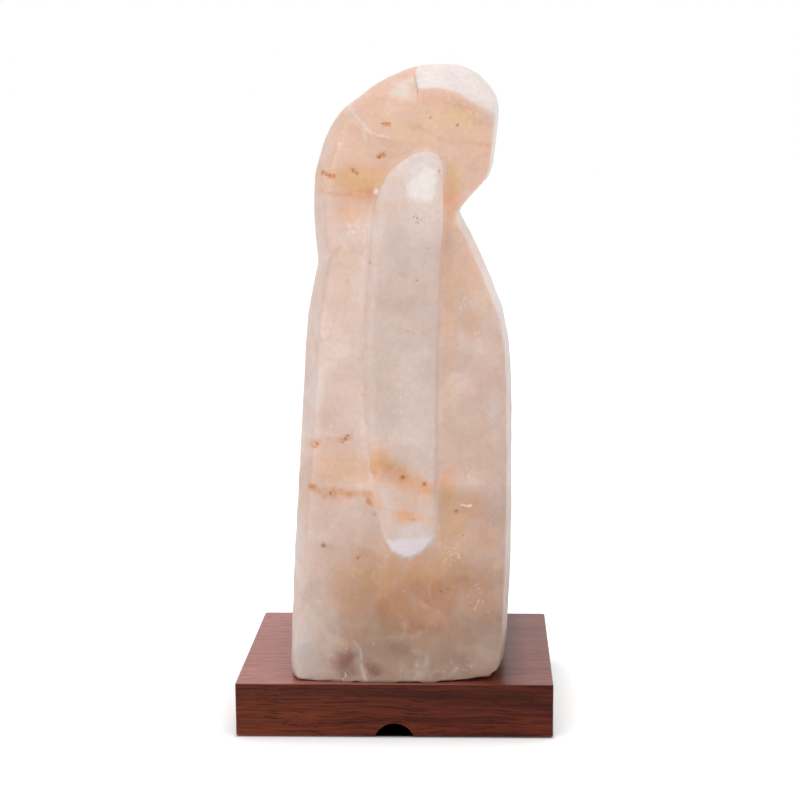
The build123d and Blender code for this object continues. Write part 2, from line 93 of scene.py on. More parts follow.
def add(tree, kind, inputs=None, stops=None, **settings):
    """Adds a node; a kind without a prefix is a shader node. Stops fill a colour ramp.

    Inputs come as a list in the node's own order, or by name or number. Each is a value, a hex colour,
    a socket, or another node, which stands for its first output in use.
    """
    made = tree.nodes.new(kind if "Node" in kind else "ShaderNode" + kind)
    for key, value in settings.items():
        setattr(made, key, value)
    given = inputs if isinstance(inputs, dict) else dict(enumerate(inputs or []))
    for key, value in given.items():
        if isinstance(value, bpy.types.Node):
            value = next(socket for socket in value.outputs if socket.enabled)
        if isinstance(value, bpy.types.NodeSocket):
            tree.links.new(value, made.inputs[key])
        else:
            made.inputs[key].default_value = linear(value) if isinstance(value, str) else value
    for place, (at, value) in enumerate(stops or []):
        ramp = made.color_ramp.elements
        step = ramp[place] if place < len(ramp) else ramp.new(at)
        step.position = at
        step.color = linear(value) if isinstance(value, str) else (value, value, value, 1.0)
    return made


def new_material(name):
    """An empty material, and its tree."""
    material = bpy.data.materials.new(name)
    material.use_nodes = True
    material.node_tree.nodes.clear()
    return material, material.node_tree


# %% [markdown]
# ## The block of salt
# On the real lamp this is a block of mined rock salt, sawn, ground on a wheel and wetted until its
# surface melts a little. Every edge is eased, the flats wander, and the foot is chipped where it was
# broken off. A subdivided cage would make it too smooth. Here a copy of the CAD solid is remeshed evenly,
# relaxed where the grinder went over it, and then each point is moved by rules, as a carver takes stone
# away and never puts it back.

# %% Remesh the salt
grain = 1.28 * mm


def remeshed(node, size):
    """An even mesh of a CAD node, as a new object with its doubles merged first."""
    mesh = nodes[node].data.copy()
    work = bmesh.new()
    work.from_mesh(mesh)
    bmesh.ops.remove_doubles(work, verts=work.verts, dist=0.001 * mm)
    work.to_mesh(mesh)
    work.free()
    mesh.materials.clear()
    piece = bpy.data.objects.new("remesh_work", mesh)
    bpy.context.scene.collection.objects.link(piece)
    remesh = piece.modifiers.new("even", "REMESH")
    remesh.mode = "VOXEL"
    remesh.voxel_size = size
    done = bpy.data.meshes.new_from_object(piece.evaluated_get(bpy.context.evaluated_depsgraph_get()))
    bpy.data.objects.remove(piece)
    return done


salt_mesh = remeshed("salt_block", grain)
print("Salt points", len(salt_mesh.vertices), "faces", len(salt_mesh.polygons))

# %% [markdown]
# ### Where things are on the salt
# The carving is described in millimetres: x to the right of the bore, y towards the back, and h above the
# plinth. The same table that shaped the CAD gives the depth of the robe's face at each height, so a point
# that stands in front of it belongs to the raised arm.

# %% Read the points
def smooth(low, high, value):
    """A soft step from 0 at low to 1 at high."""
    t = np.clip((value - low) / (high - low), 0, 1)
    return t * t * (3 - 2 * t)


def points_of(mesh):
    """The mesh's points in millimetres, height measured from the plinth's top."""
    flat = np.zeros(len(mesh.vertices) * 3)
    mesh.vertices.foreach_get("co", flat)
    return flat.reshape(-1, 3) / mm - (0, 0, seat / mm)


def put_points(mesh, points):
    """Puts points in millimetres back into the mesh."""
    mesh.vertices.foreach_set("co", ((points + (0, 0, seat / mm)) * mm).ravel())
    mesh.update()


def normals_of(mesh):
    """The mesh's point normals."""
    flat = np.zeros(len(mesh.vertices) * 3, np.float32)
    mesh.vertex_normals.foreach_get("vector", flat)
    return flat.reshape(-1, 3).astype(float)


points = points_of(salt_mesh)
edges = np.zeros(len(salt_mesh.edges) * 2, int)
salt_mesh.edges.foreach_get("vertices", edges)
edges = edges.reshape(-1, 2)
neighbours = np.bincount(edges.ravel(), minlength=len(points))[:, None]


def relax(points, share, times):
    """Moves each point towards the middle of its neighbours, by its own share, a number of times."""
    for _ in range(times):
        total = np.zeros_like(points)
        np.add.at(total, edges[:, 0], points[edges[:, 1]])
        np.add.at(total, edges[:, 1], points[edges[:, 0]])
        points = points + (total / neighbours - points) * share[:, None]
    return points


bore_radius, bore_top = 25.0, 106.1
reach = np.hypot(points[:, 0], points[:, 1])
outside = (reach > bore_radius + 1.5) | (points[:, 2] > bore_top + 1.5)
plug_places = [(x, y) for x in (-36, 36) for y in (-33, 33)]
plug_distance = np.min([np.hypot(points[:, 0] - x, points[:, 1] - y) for x, y in plug_places], axis=0)
outside &= (plug_distance > 6) | (points[:, 2] > 36)
carved = outside & (points[:, 2] > 0.7)
print("Points on the outside", int(outside.sum()), "of", len(points))

# %% [markdown]
# ### Relax the edges
# The left edges are rounded by hand and the right ones are still crisp, so the share of relaxing falls
# from left to right. The arm's own edge is softer on its left side too.

# %% Ease the edges
def above_crown(points):
    """How far each point is above the line on the head where its white crust begins."""
    across = [10, 21, 28.7, 37.5, 42, 48]
    height = [266.7, 267, 265, 259.8, 256.3, 250]
    return points[:, 2] - np.interp(points[:, 0], across, height)


# the right bevels are narrower than on the solid: their front edge comes out towards the outline
level = points[:, 2].astype(int)
outline = np.full(level.max() + 1, -1e9)
np.maximum.at(outline, level, points[:, 0])
gap = outline[level] - points[:, 0]
narrower = (0.25 + 0.35 * smooth(110, 190, points[:, 2])) * smooth(16, 4, gap) * smooth(24, 27, points[:, 0])
points[:, 0] += narrower * np.minimum(gap, 3.6) * smooth(10, 20, np.abs(points[:, 1]))

easing = 0.16 + 0.44 * smooth(12, -30, points[:, 0])
easing *= np.where(np.abs(points[:, 0] - 21) < 4, 0.5, 1.0)
crown = (np.abs(above_crown(points)) < 4) & (points[:, 1] < -15)
easing = np.where((points[:, 0] > 7) & crown, 0.06, easing)
easing *= 1 - 0.65 * smooth(12, 4, points[:, 2])
points = relax(points, np.where(carved, easing, 0), 14)
put_points(salt_mesh, points)
normals = normals_of(salt_mesh)
print("Eased, share from", round(float(easing.min()), 2), "to", round(float(easing.max()), 2))

# %% [markdown]
# ### Grind, chip and crack
# Three things take stone away. Slow waves are the wander of the grinding wheel. Short steps are where a
# flake has split off along a cleavage plane, such as the ledge that runs down from the back of the head.
# Bites are small hollows, mostly along the foot, where the block stands off the board at its corners.

# %% Carving rules
def waves(points, length, count, seed):
    """Slow noise between -1 and 1: a sum of sine waves of about that length in random directions."""
    chance = np.random.default_rng(seed)
    total = np.zeros(len(points))
    for _ in range(count):
        way = chance.normal(size=3)
        way *= 2 * math.pi / (length * chance.uniform(0.7, 1.4) * np.linalg.norm(way))
        total += np.sin(points @ way + chance.uniform(0, 2 * math.pi))
    return total / math.sqrt(count * 2)


def line_distance(points, line):
    """Distance of each point, seen from the front, to a line of (x, h) corners, and the side it is on."""
    best = np.full(len(points), 1e9)
    side = np.zeros(len(points))
    flat = points[:, (0, 2)]
    for start, end in zip(line, line[1:]):
        start, along = np.array(start), np.array(end) - np.array(start)
        share = np.clip((flat - start) @ along / (along @ along), 0, 1)
        away = flat - (start + share[:, None] * along)
        distance = np.hypot(away[:, 0], away[:, 1])
        turn = along[0] * away[:, 1] - along[1] * away[:, 0]
        side = np.where(distance < best, np.sign(turn), side)
        best = np.minimum(best, distance)
    return best, side


front = smooth(-0.15, -0.5, normals[:, 1])
depth = 0.22 * (1 + waves(points, 34, 9, 1)) + 0.10 * (1 + waves(points, 11, 9, 2))

# the ledge on the back of the head: the stone on its left is a little lower
ledge = [(-21.4, 260), (-17.8, 256.3), (-15.2, 252.9), (-10.0, 247.2), (-1.2, 245.0)]
distance, side = line_distance(points, ledge)
depth += front * np.where(side < 0, 1, 0) * 1.3 * smooth(14, 0.6, distance)

# bites: (x, h, radius, depth) on the front
bites = [
    (7, 264, 7, 0.7), (-8.4, 221, 3, 0.8), (-17, 203, 8, 0.7), (-31, 229, 4, 0.4), (28, 214, 4, 0.8),
    (32, 172, 7, 0.5), (37, 93, 9, 0.7), (32, 81, 2.5, 0.8), (44, 62, 8, 0.5), (-30, 13, 9, 0.8),
    (-18, 6, 7, 1.1), (8, 3, 6, 0.9), (30, 9, 10, 0.9), (14, 228, 6, 0.5), (-14, 14, 4, 0.7),
]
ragged = 1 + 0.35 * waves(points, 9, 7, 4)
for x, h, radius, deep in bites:
    away = np.hypot(points[:, 0] - x, points[:, 2] - h) * ragged
    depth += front * deep * smooth(radius, radius * 0.35, away)

points = points - normals * np.where(carved, depth, 0)[:, None]

# the foot: broken off unevenly, so it lifts from the board at the corners and in nicks
rim = smooth(bore_radius + 12, bore_radius + 18, reach) * np.where(plug_distance > 8, 1, 0.3)
corner = 0.8 * smooth(-28, -47, points[:, 0]) * smooth(22, 50, np.abs(points[:, 1]))
corner = np.maximum(corner, smooth(16, 47, points[:, 0]) * smooth(30, 46, np.abs(points[:, 1])))
nicks = np.clip(waves(points, 8, 7, 3) - 0.2, 0, 1.0) * smooth(46, 52, np.abs(points[:, 1]) + points[:, 2])
lift = rim * (2.4 * corner + 1.3 * nicks)
low = np.where(outside, smooth(7, 0, points[:, 2]), 0)
points[:, 2] += lift * low
# the left bevels fade out near the foot, where the corners are almost square
for side in (-1, 1):
    to_corner = np.array((-47.3, 52.6 * side)) - points[:, :2]
    pull = 0.5 * smooth(19, 8, np.hypot(to_corner[:, 0], to_corner[:, 1])) * smooth(44, 5, points[:, 2])
    points[:, :2] += to_corner * pull[:, None]
print("Deepest cut", round(float(depth.max()), 2), "mm, highest lift", round(float(lift.max()), 2), "mm")

# %% [markdown]
# ### Bring the bores back to size
# The holder slides in the bore, the plugs sit in their holes and the block stands flat on the board, so
# those points go back exactly to the solid's own surfaces.

# %% True the bores and the seat
bore = (np.abs(reach - bore_radius) < 1.6) & (points[:, 2] < bore_top - 5.5)
points[bore, :2] *= (bore_radius / reach[bore])[:, None]
plug_hole = 3.5
for place in plug_places:
    away = points[:, :2] - place
    distance = np.hypot(away[:, 0], away[:, 1])
    near = (np.abs(distance - plug_hole) < 1.3) & (points[:, 2] < 29.5)
    points[near, :2] = place + away[near] * (plug_hole / distance[near])[:, None]
low_corner, high_corner = [np.array(c) / mm - (0, 0, seat / mm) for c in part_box("salt_block")]
points[(points[:, 2] < 0.5) & (lift < 0.2), 2] = 0
points = np.clip(points, low_corner, high_corner)
put_points(salt_mesh, points)
normals = normals_of(salt_mesh)
print("Bore points", int(bore.sum()), "size", np.round(np.ptp(points, axis=0), 1))

# %% [markdown]
# ### The arm and the head
# The arm was ground more than the robe and has fewer stains, and the head has more. Their outlines, as
# they are seen from the front, say which points belong to them. A mesh for each would do too, but the
# block is one stone.

# %% Which points are on the arm and the head
across, back, up = points.T
face_height = [0, 5, 20, 50, 80, 108, 136, 152, 165, 173, 190, 200, 210, 217]
face_depth = [-53.7, -53.1, -51.4, -48.8, -47.2, -46.2, -45.2, -44.6, -43.8, -43.2, -41.6, -40.4, -38.8, -37]
ahead = np.interp(up, face_height, face_depth, right=-37) + np.abs(back)
left_height = [58, 61.4, 68, 82, 97, 125, 150, 172, 195, 221, 229.5, 235.6, 238.8, 240.2]
left_across = [6.1, -0.8, -5, -7.6, -10.6, -13, -13.6, -12.6, -10.6, -7, -2.6, 3.8, 9.6, 15.6]
right_height = [58, 61.4, 67.4, 74, 96, 155, 205, 233, 238.4, 240.2]
right_across = [6.1, 12.8, 17.6, 19.4, 19.6, 20.8, 22, 22.5, 20.4, 15.6]
arm_left = np.interp(up, left_height, left_across)
arm_right = np.interp(up, right_height, right_across)
arm = smooth(-0.7, 0.7, across - arm_left) * smooth(0.5, -0.7, across - arm_right)
arm *= smooth(-0.3, 0.5, ahead) * smooth(57.6, 58.4, up) * smooth(240.8, 240, up)
head = np.maximum(smooth(166, 186, up) * smooth(39.6, 38.2, np.abs(back)) * 0.4,
                  smooth(212, 226, up)) * (1 - arm)
print("Points on the arm", int((arm > 0.5).sum()), "and on the head", int((head > 0.5).sum()))

# %% [markdown]
# ### Where the salt changes colour
# Rock salt is nearly white, and iron and clay tint it in beds and clouds. The large changes of tint
# follow the stone, so they are painted on the points as attributes, from short lists of soft patches and
# streaks. Each list holds places on the front in millimetres. The back gets its own, from a fixed seed.

# %% Patches and streaks
# some lists below also hold painted light and painted shade, as their comments say
# a patch is (x, h, half width, half height, strength) and, where it is turned, the turn in degrees
# the narrow peach patches along the arm's right edge, near x 23 to 25, are painted shade in the crease there
peach_patches = [
    (-14, 226, 24, 17, 0.85), (24, 222, 14, 24, 0.78), (14, 62, 50, 22, 0.5), (8, 42, 62, 34, 0.8),
    (34, 100, 18, 80, 0.32), (-22, 98, 28, 15, 0.52), (25, 166, 7, 50, 0.5), (46, 140, 10, 56, 0.22),
    (-26, 190, 11, 22, 0.25), (-22, 176, 9, 8, 0.3), (16, 262, 26, 6, 0.55, -6), (2, 250, 30, 9, 0.15),
    (36, 228, 12, 12, 0.35), (40, 66, 15, 20, 0.45), (-24, 84, 18, 6, 0.35), (24, 90, 12, 26, 0.4),
    (-14, 95, 4, 9, 0.6), (-16, 50, 26, 20, 0.5), (28, 74, 9, 20, 0.65), (23, 200, 4, 50, 0.5),
    (24, 130, 5, 60, 0.4), (-20, 212, 15, 10, 0.6), (25, 88, 6, 20, 0.75), (-20, 22, 10, 8, 0.45),
    (34, 163, 9, 12, 0.45), (21, 68, 8, 9, 0.7), (7, 28, 26, 14, 0.6), (-32, 108, 18, 4, 0.35),
    (-9.4, 85, 4, 8, 0.7), (42, 176, 4, 14, 0.4), (-42, 86, 6, 24, 0.3), (34, 188, 16, 30, 0.45),
    (-24, 170, 14, 20, 0.2), (34, 80, 14, 12, 0.6), (-10, 58, 22, 8, 0.55),
]
arm_peach_patches = [
    (-6, 101, 12, 14, 0.8), (5, 95, 13, 9, 0.85, -12), (14, 90, 10, 6, 0.7, -15), (6, 77, 11, 7, 0.8),
    (15, 74, 6, 6, 0.5), (8, 86, 16, 12, 0.4), (-8, 84, 6, 12, 0.55), (2, 140, 12, 16, 0.12),
    (17.4, 234, 2, 1, 0.5), (20.4, 231, 1.2, 2.2, 0.6),
]
# milky salt; the patches along the left and right edges and the one on top of the arm are painted light
milk_and_light_patches = [
    (9.8, 68, 16, 12, 0.7), (10, 132, 13, 30, 0.4), (14, 228, 13, 14, 0.8, 10), (-42, 150, 7, 44, 0.55),
    (-42, 16, 12, 24, 0.75), (-43, 46, 8, 24, 0.6), (-30, 16, 12, 14, 0.55), (44, 262, 6, 16, 0.5),
    (20, 8, 28, 10, 0.3), (42, 15, 12, 18, 0.6), (-37, 130, 10, 16, 0.78), (-32, 240, 6, 18, 0.45),
    (46, 122, 8, 34, 0.45), (26, 142, 8, 30, 0.3), (3, 268, 7, 7, 0.6), (10, 200, 9, 32, 0.45),
    (5, 266, 6, 5, 0.75), (48, 238, 5, 26, 0.6), (36, 92, 9, 8, 0.45), (-35, 38, 13, 30, 0.6),
    (10, 112, 10, 12, 0.35), (-34, 140, 14, 50, 0.2), (-31, 243, 8, 14, 0.35), (-17, 10, 5, 15, 0.7, 10),
    (15, 6, 4, 5, 0.5), (32, 130, 16, 30, 0.2), (-28, 30, 4, 20, 0.6, 14), (-9, 22, 3.5, 10, 0.5, -12),
    (24, 4, 10, 4, 0.5),
]
ochre_patches = [
    (-2.9, 251.1, 3.4, 1.8, 0.95), (-5.2, 237.2, 3.8, 2, 0.9, 15), (28.3, 250.7, 1.8, 1.6, 0.7),
    (16.5, 253.7, 1.6, 1.3, 0.5), (-5.9, 101.5, 6, 6, 0.25), (4.5, 95.6, 3, 2, 0.9),
    (13.9, 92.4, 3.2, 2, 0.8), (-9.5, 97, 3, 5, 0.5), (5, 79.5, 5, 2.4, 0.45, -10),
    (8.9, 76, 2.8, 1.6, 0.65), (-37, 89.2, 3.4, 2, 1, -10), (28.1, 78.7, 2.2, 1.7, 0.95),
    (41, 76.4, 2.4, 1.3, 0.5), (-32.2, 62.2, 2.2, 2.2, 0.8), (-16.4, 57.1, 2, 1.5, 0.6),
    (-35.6, 107.8, 2.6, 1.3, 0.9), (-23, 111, 3.4, 2, 0.75), (-14, 60, 6, 4, 0.35),
    (24, 43, 3.4, 1.2, 0.5, 10), (7.6, 36.5, 2, 1.5, 0.45), (-20, 182, 3.5, 3, 0.35),
    (-18.5, 147, 2.5, 1.5, 0.3), (-32, 156, 3, 3, 0.25), (-14.6, 222, 10, 2.2, 0.35), (12, 36, 24, 14, 0.16),
    (-13, 132, 2.6, 1.8, 0.4), (-11.6, 83, 2.2, 4.8, 0.8, 20), (-9, 77.5, 3.4, 2, 0.6, -30),
    (14.5, 89.2, 3.6, 2.2, 0.55),
]
# a streak is (its corners as x and h, width, strength)
ochre_streaks = [
    ([(23.5, 261.5), (28.8, 259.8), (33.2, 257.2), (36.7, 252.0)], 2.6, 0.38),
    ([(20.8, 244.8), (26.6, 243.0), (34.1, 243.0), (42.0, 241.6)], 1.7, 0.42),
    ([(7.7, 250.3), (11.2, 249.8), (14.7, 248.1)], 1.3, 0.45),
    ([(-31.4, 229.7), (-28.3, 228.4), (-26.1, 228.0)], 1.2, 0.8),
    ([(-18.1, 231.1), (-15.9, 229.8)], 1.1, 0.7),
    ([(-32.4, 221.4), (-24.4, 220.1), (-13.8, 218.8)], 1.3, 0.42),
    ([(-37.7, 89.5), (-34.1, 87.9), (-31.4, 86.8), (-24.2, 86.8), (-12.0, 86.8)], 2.7, 0.60),
    ([(-1.0, 99.5), (7.7, 95.4), (16.5, 91.0)], 4.0, 0.42),
    ([(-10.0, 109.0), (-2.0, 105.0), (8.0, 99.0)], 4.0, 0.25),
    ([(-39.0, 109.0), (-30.0, 110.5), (-20.0, 112.5)], 2.2, 0.45),
    ([(2.8, 186.3), (6.4, 185.8)], 0.8, 0.5), ([(9.6, 184.0), (10.6, 183.2)], 0.8, 0.4),
]
# white frost, and painted highlights on the ledge down the head, on the arm's top and at the neck
frost_and_glint_streaks = [
    ([(45.6, 92.9), (43.6, 84.9)], 0.9, 0.35), ([(-20.5, 257.5), (-16.5, 251.5)], 2.2, 0.35),
    ([(-14.5, 249.5), (-8.5, 245.5)], 2.6, 0.30), ([(-13.5, 247.5), (-12.5, 242.5)], 1.6, 0.30),
]
frost_and_glint_patches = [
    (-17, 204, 7, 8, 0.22), (-7.2, 221.7, 2.2, 1.8, 1, 15), (12.5, 218, 7, 8, 0.35),
]
# the last golden patch, at x 27 and h 207, is painted shade under the neck
golden_patches = [
    (28, 254, 20, 12, 0.75, -15), (10, 246, 20, 8, 0.55), (-14, 228, 20, 7, 0.55), (26, 226, 9, 16, 0.65),
    (24, 150, 5, 80, 0.3), (28, 188, 8, 20, 0.45), (-20, 190, 10, 12, 0.4), (-20, 183, 5, 5, 0.4),
    (-12, 132, 6, 8, 0.3), (-24, 98, 20, 10, 0.25), (28, 80, 12, 18, 0.5), (4, 52, 30, 12, 0.4),
    (-6, 44, 26, 14, 0.35), (30, 60, 16, 14, 0.4), (-16, 264, 12, 8, 0.35), (40, 172, 8, 18, 0.35),
    (27, 207, 6, 12, 0.6),
]
smoke_patches = [
    (-23, 9.5, 9.6, 10.5, 1), (-9.5, 6.5, 6, 5, 0.8), (32, 11.5, 8, 4, 0.55), (2, 15, 10, 5, 0.45),
    (16, 25, 20, 5, 0.35), (-4, 33, 8, 9, 0.35), (30, 46, 7, 5, 0.35), (16, 44, 16, 9, 0.35),
    (-30, 61, 7, 4, 0.35), (18, 3, 6, 4, 0.35), (6, 172, 10, 8, 0.15),
]
crackle_patches = [
    (35.5, 94.5, 8, 7, 0.5), (31.5, 172.5, 5, 3.6, 0.9, 10), (-17.4, 204, 6.5, 6, 0.85),
    (27, 262, 12, 4, 0.5, -20), (36, 256, 6, 4, 0.6, -30), (37.6, 159.4, 2.6, 1.6, 0.8),
    (4.4, 132, 2.8, 2.4, 1), (2.6, 124.6, 5, 1.2, 0.7), (42, 224, 5, 12, 0.6), (30, 204, 5, 7, 0.4),
    (-21, 12.6, 6, 5, 0.15), (-12, 4, 8, 4, 0.3), (28, 8, 16, 6, 0.4), (44.5, 122, 2.4, 2, 0.9),
    (-24, 244, 9, 10, 0.35), (26, 60, 9, 12, 0.4), (38, 40, 9, 14, 0.35), (-4, 240, 12, 5, 0.3),
]
# flat facets painted lighter, a painted highlight where they catch the light: a chip on the head and the
# arm's top; as corners (x, h) taken against the clock, and how pale each one is
pale_facets = [
    ([(-2.5, 264.5), (3.0, 261.5), (10.2, 261.0), (9.6, 272.2), (4.0, 269.5)], 0.34),
    ([(6.6, 224.5), (7.4, 219), (18.1, 218.4), (19.5, 231), (14.7, 232.4), (10.4, 228.5)], 0.80),
]
# the arm's tip facet faces down: painted light, as from the bright floor below
lit_tip_facets = [([(-3.0, 66.0), (-1.0, 60.5), (7.0, 56.5), (13.0, 60.0), (19.0, 68.0), (8.0, 67.6)], 0.85)]
# patches of painted shade on the front
painted_shade_patches = [
    (-18, 222, 26, 16, 0.15), (-24, 92, 30, 20, 0.12), (0, 98, 18, 14, 0.34), (-35, 73, 14, 14, 0.30),
]
print("Patches of iron", len(peach_patches), "and of ochre", len(ochre_patches))

# %% [markdown]
# ### From a list to a tint
# A stain in stone has no clean rim, so two slow noises push each patch and streak about before it is
# drawn. The sides and the back carry patches of the same kind, thrown by a fixed seed.

# %% Paint the patches
wander_x, wander_h = waves(points, 13, 9, 5), waves(points, 13, 9, 6)
quick_x, quick_h = waves(points, 5, 9, 8), waves(points, 5, 9, 9)
wandered = points + 0.5 * np.stack([quick_x, 0 * quick_x, quick_h], axis=1)


def patch(x, h, wide, high, turn=0.0):
    """1 in the middle of a ragged oval patch, seen from the front, and 0 at its rim."""
    cosine, sine = math.cos(math.radians(turn)), math.sin(math.radians(turn))
    loose = min(wide, high, 8)
    dx = across - x + 0.22 * loose * wander_x + 0.06 * loose * quick_x
    dh = up - h + 0.22 * loose * wander_h + 0.06 * loose * quick_h
    away = np.hypot((dx * cosine + dh * sine) / wide, (dh * cosine - dx * sine) / high)
    return smooth(1.15, 0.1, away)


def facet(spots, corners, rim=0.9):
    """1 inside a flat facet seen from the front, and 0 outside it."""
    inside = np.full(len(spots), 1e9)
    for (x, h), (next_x, next_h) in zip(corners, corners[1:] + corners[:1]):
        run, climb = next_x - x, next_h - h
        away = (run * (spots[:, 2] - h) - climb * (spots[:, 0] - x)) / math.hypot(run, climb)
        inside = np.minimum(inside, away)
    return smooth(-rim, rim, inside)


def paint(patches, streaks, seed, count, sizes):
    """A tint from 0 to 1: the lists on the front, and random patches of the same kind on the other sides."""
    facing = smooth(0.35, -0.1, normals[:, 1]) * np.where(back < 0, 1, 0)
    tint = np.zeros(len(points))
    for x, h, wide, high, strength, *turn in patches:
        tint = np.maximum(tint, patch(x, h, wide, high, *turn) * strength * facing)
    for line, width, strength in streaks:
        distance, _ = line_distance(wandered, line)
        tint = np.maximum(tint, smooth(width * 1.9, width * 0.2, distance) * strength * facing)
    # the streaked beds run on through the stone and show, broken, on its other sides
    chance = np.random.default_rng(seed)
    rear = 1 - facing
    for _ in streaks:
        climb = up - chance.uniform(12, 250) - 0.10 * across + 2.5 * wander_h + 0.8 * quick_h
        broken = smooth(-0.1, 0.7, waves(points, 30, 7, chance.integers(999)))
        tint = np.maximum(tint, smooth(2.2, 0.3, np.abs(climb)) * broken * chance.uniform(0.3, 0.7) * rear)
    for _ in range(count):
        middle = chance.uniform((-50, -54, 0), (50, 54, 275))
        size = chance.uniform(*sizes) * np.array((1.6, 1.6, 0.7))
        away = np.linalg.norm((points - middle) / size, axis=1)
        tint = np.maximum(tint, smooth(1, 0.25, away) * chance.uniform(0.3, 0.9) * rear)
    return tint


print("Tints wander by", round(float(np.abs(wander_x).mean()), 2), "of their reach")

# %% [markdown]
# ### Shade, crust and bleaching
# Some changes follow the shape and not a list. Painted shade darkens the foot, which stands on dark wood,
# the right of the robe and the creases by the arm. The crown of the head has a crust of white salt that
# ends at a sharp step, partly painted light where it tilts up, and the side bevels carry painted light.

# %% Tints that follow the shape
# painted shade: the thick foot on dark wood gets less light, so it is darker, less so at its left corner
painted_shade = smooth(112, 4, up) * (1 - arm) * (1 - 0.45 * smooth(-8, -40, across))
# painted shade also on the right of the robe, low on the arm, on the left bevel and along the arm's left rim
painted_shade = np.maximum(painted_shade, 0.24 * smooth(18, 30, across) * smooth(200, 140, up) * (1 - arm))
painted_shade = np.maximum(painted_shade, 0.46 * smooth(98, 84, up) * smooth(17, 22, across) * (1 - arm))
painted_shade = np.maximum(painted_shade, arm * smooth(214, 190, up) * (0.20 - 0.05 * smooth(124, 112, up)))
left_bevel = smooth(0.3, 0.7, -normals[:, 0]) * smooth(-12, -18, across)
painted_shade = np.maximum(painted_shade, left_bevel * (0.22 + 0.12 * smooth(120, 90, up)))
arm_rim = smooth(3.5, 1.0, np.abs(across - arm_left - 0.5)) * smooth(235, 222, up)
painted_shade = np.maximum(painted_shade, 0.08 * arm_rim * smooth(60, 66, up) * arm)
for x, h, wide, high, strength in painted_shade_patches:
    painted_shade = np.maximum(painted_shade, patch(x, h, wide, high) * strength * smooth(0.35, -0.1, normals[:, 1]))
# the cap is white crust, partly painted light where the crown tilts up towards the top lamp; it ends
# sharply at the step and fades out towards the face of the right bevel
fading = 0.5 + 3.5 * smooth(24, 42, across)
cap_edge = across - smooth(-30, -5, back) * 7 * waves(points, 17, 7, 21)
cap = smooth(-fading, fading, above_crown(points)) * smooth(10.2, 11.0, cap_edge)
cap *= 1 - 0.25 * smooth(30, 44, across)
cap = np.maximum(cap, smooth(42.4, 46.6, across) * smooth(224, 232, up) * 0.7)
# painted light on the side bevels, which face the bright room: the right one more, the left one less
painted_side_light = np.maximum(0.7 * smooth(0.75, 0.95, normals[:, 0]) * smooth(26, 28, across),
                      0.5 * smooth(0.45, 0.95, -normals[:, 0]) * smooth(-15, -20, across))
painted_side_light *= 1 - 0.6 * smooth(216, 222, up) * np.where(across < 0, 1, 0)
stained = smooth(66, 76, up) * smooth(120, 112, up)
painted_side_light *= 1 - 0.8 * stained * np.where(across < 0, 1, 0)
on_front = np.where(back < 0, 1, 0) * (1 - smooth(-0.4, 0.1, normals[:, 1]))


def painted_facet_light(facets):
    """How pale each point of the front is: a painted highlight on flat facets that catch the light."""
    shown = [facet(wandered, corners) * strength for corners, strength in facets]
    return np.maximum.reduce(shown) * on_front


tints = {
    "peach": np.maximum.reduce([paint(peach_patches, [], 11, 16, (14, 30)) * (1 - arm),
                                paint(arm_peach_patches, [], 15, 0, (1, 2)) * arm, 0.45 * head * (1 - cap)]),
    "milk_and_side_light": np.maximum(paint(milk_and_light_patches, [], 12, 16, (8, 22)), painted_side_light),
    "ochre": paint(ochre_patches, ochre_streaks, 13, 90, (2, 6)),
    "frost_and_glints": paint(frost_and_glint_patches, frost_and_glint_streaks, 14, 40, (1.2, 3)),
    "golden": paint(golden_patches, [], 18, 18, (8, 24)),
    "smoke": paint(smoke_patches, [], 17, 14, (5, 12)),
    "crackle": paint(crackle_patches, [], 16, 30, (3, 8)),
    "pale": painted_facet_light(pale_facets),
    "painted_tip_light": painted_facet_light(lit_tip_facets),
    "arm": arm,
    "painted_shade": painted_shade,
    "cap": cap,
}
for name, value in tints.items():
    attribute = salt_mesh.attributes.new(name, "FLOAT", "POINT")
    attribute.data.foreach_set("value", np.clip(value, 0, 1).astype(np.float32))
    print("Tint", name, "covers", round(float((value > 0.3).mean() * 100), 1), "%")

salt = bpy.data.objects.new("carved_salt", salt_mesh)
bpy.context.scene.collection.objects.link(salt)
salt_mesh.polygons.foreach_set("use_smooth", np.ones(len(salt_mesh.polygons), bool))

# %% Places of clay grains and cracks
# (x, h, radius) of single grains of clay, too small for the points to carry
clay_grains = [
    (10.2, 211.6, 0.4), (11.3, 211.2, 0.4), (12.6, 210.9, 0.4), (14, 211.3, 0.35), (9.6, 210.5, 0.3),
    (10.9, 210.1, 0.45), (12.3, 209.7, 0.4), (10.4, 209.1, 0.35), (13.2, 209.9, 0.3), (11.4, 208.5, 0.35),
    (-21.6, 111.8, 0.8), (-22.8, 110, 0.6), (-20.6, 113.2, 0.8), (-28.7, 86.3, 0.9), (-34.9, 109.3, 0.8),
    (-31.6, 229.8, 0.7), (-29.6, 229, 0.5), (-28, 228.2, 0.7), (-26, 228.6, 0.5), (-17.9, 231, 0.6),
    (-15.9, 229.9, 0.6), (-4.4, 251.3, 0.6), (-6.2, 236.6, 0.7), (28.3, 250.7, 0.6), (16.5, 253.7, 0.5),
    (-9.8, 190.6, 0.9), (10.7, 183.6, 0.6), (4.5, 95.8, 0.9), (14.2, 92.6, 0.8), (31.2, 67.5, 0.6),
    (28.1, 78.9, 0.6), (-16.4, 57.1, 0.9), (-32.2, 62, 0.9), (21.3, 42.4, 0.6), (24.4, 43.4, 0.6),
    (20.8, 230.8, 0.4), (-9.8, 190.4, 0.5), (-2.6, 250.9, 0.5), (-1.2, 251.5, 0.4), (-4, 238.3, 0.4),
]
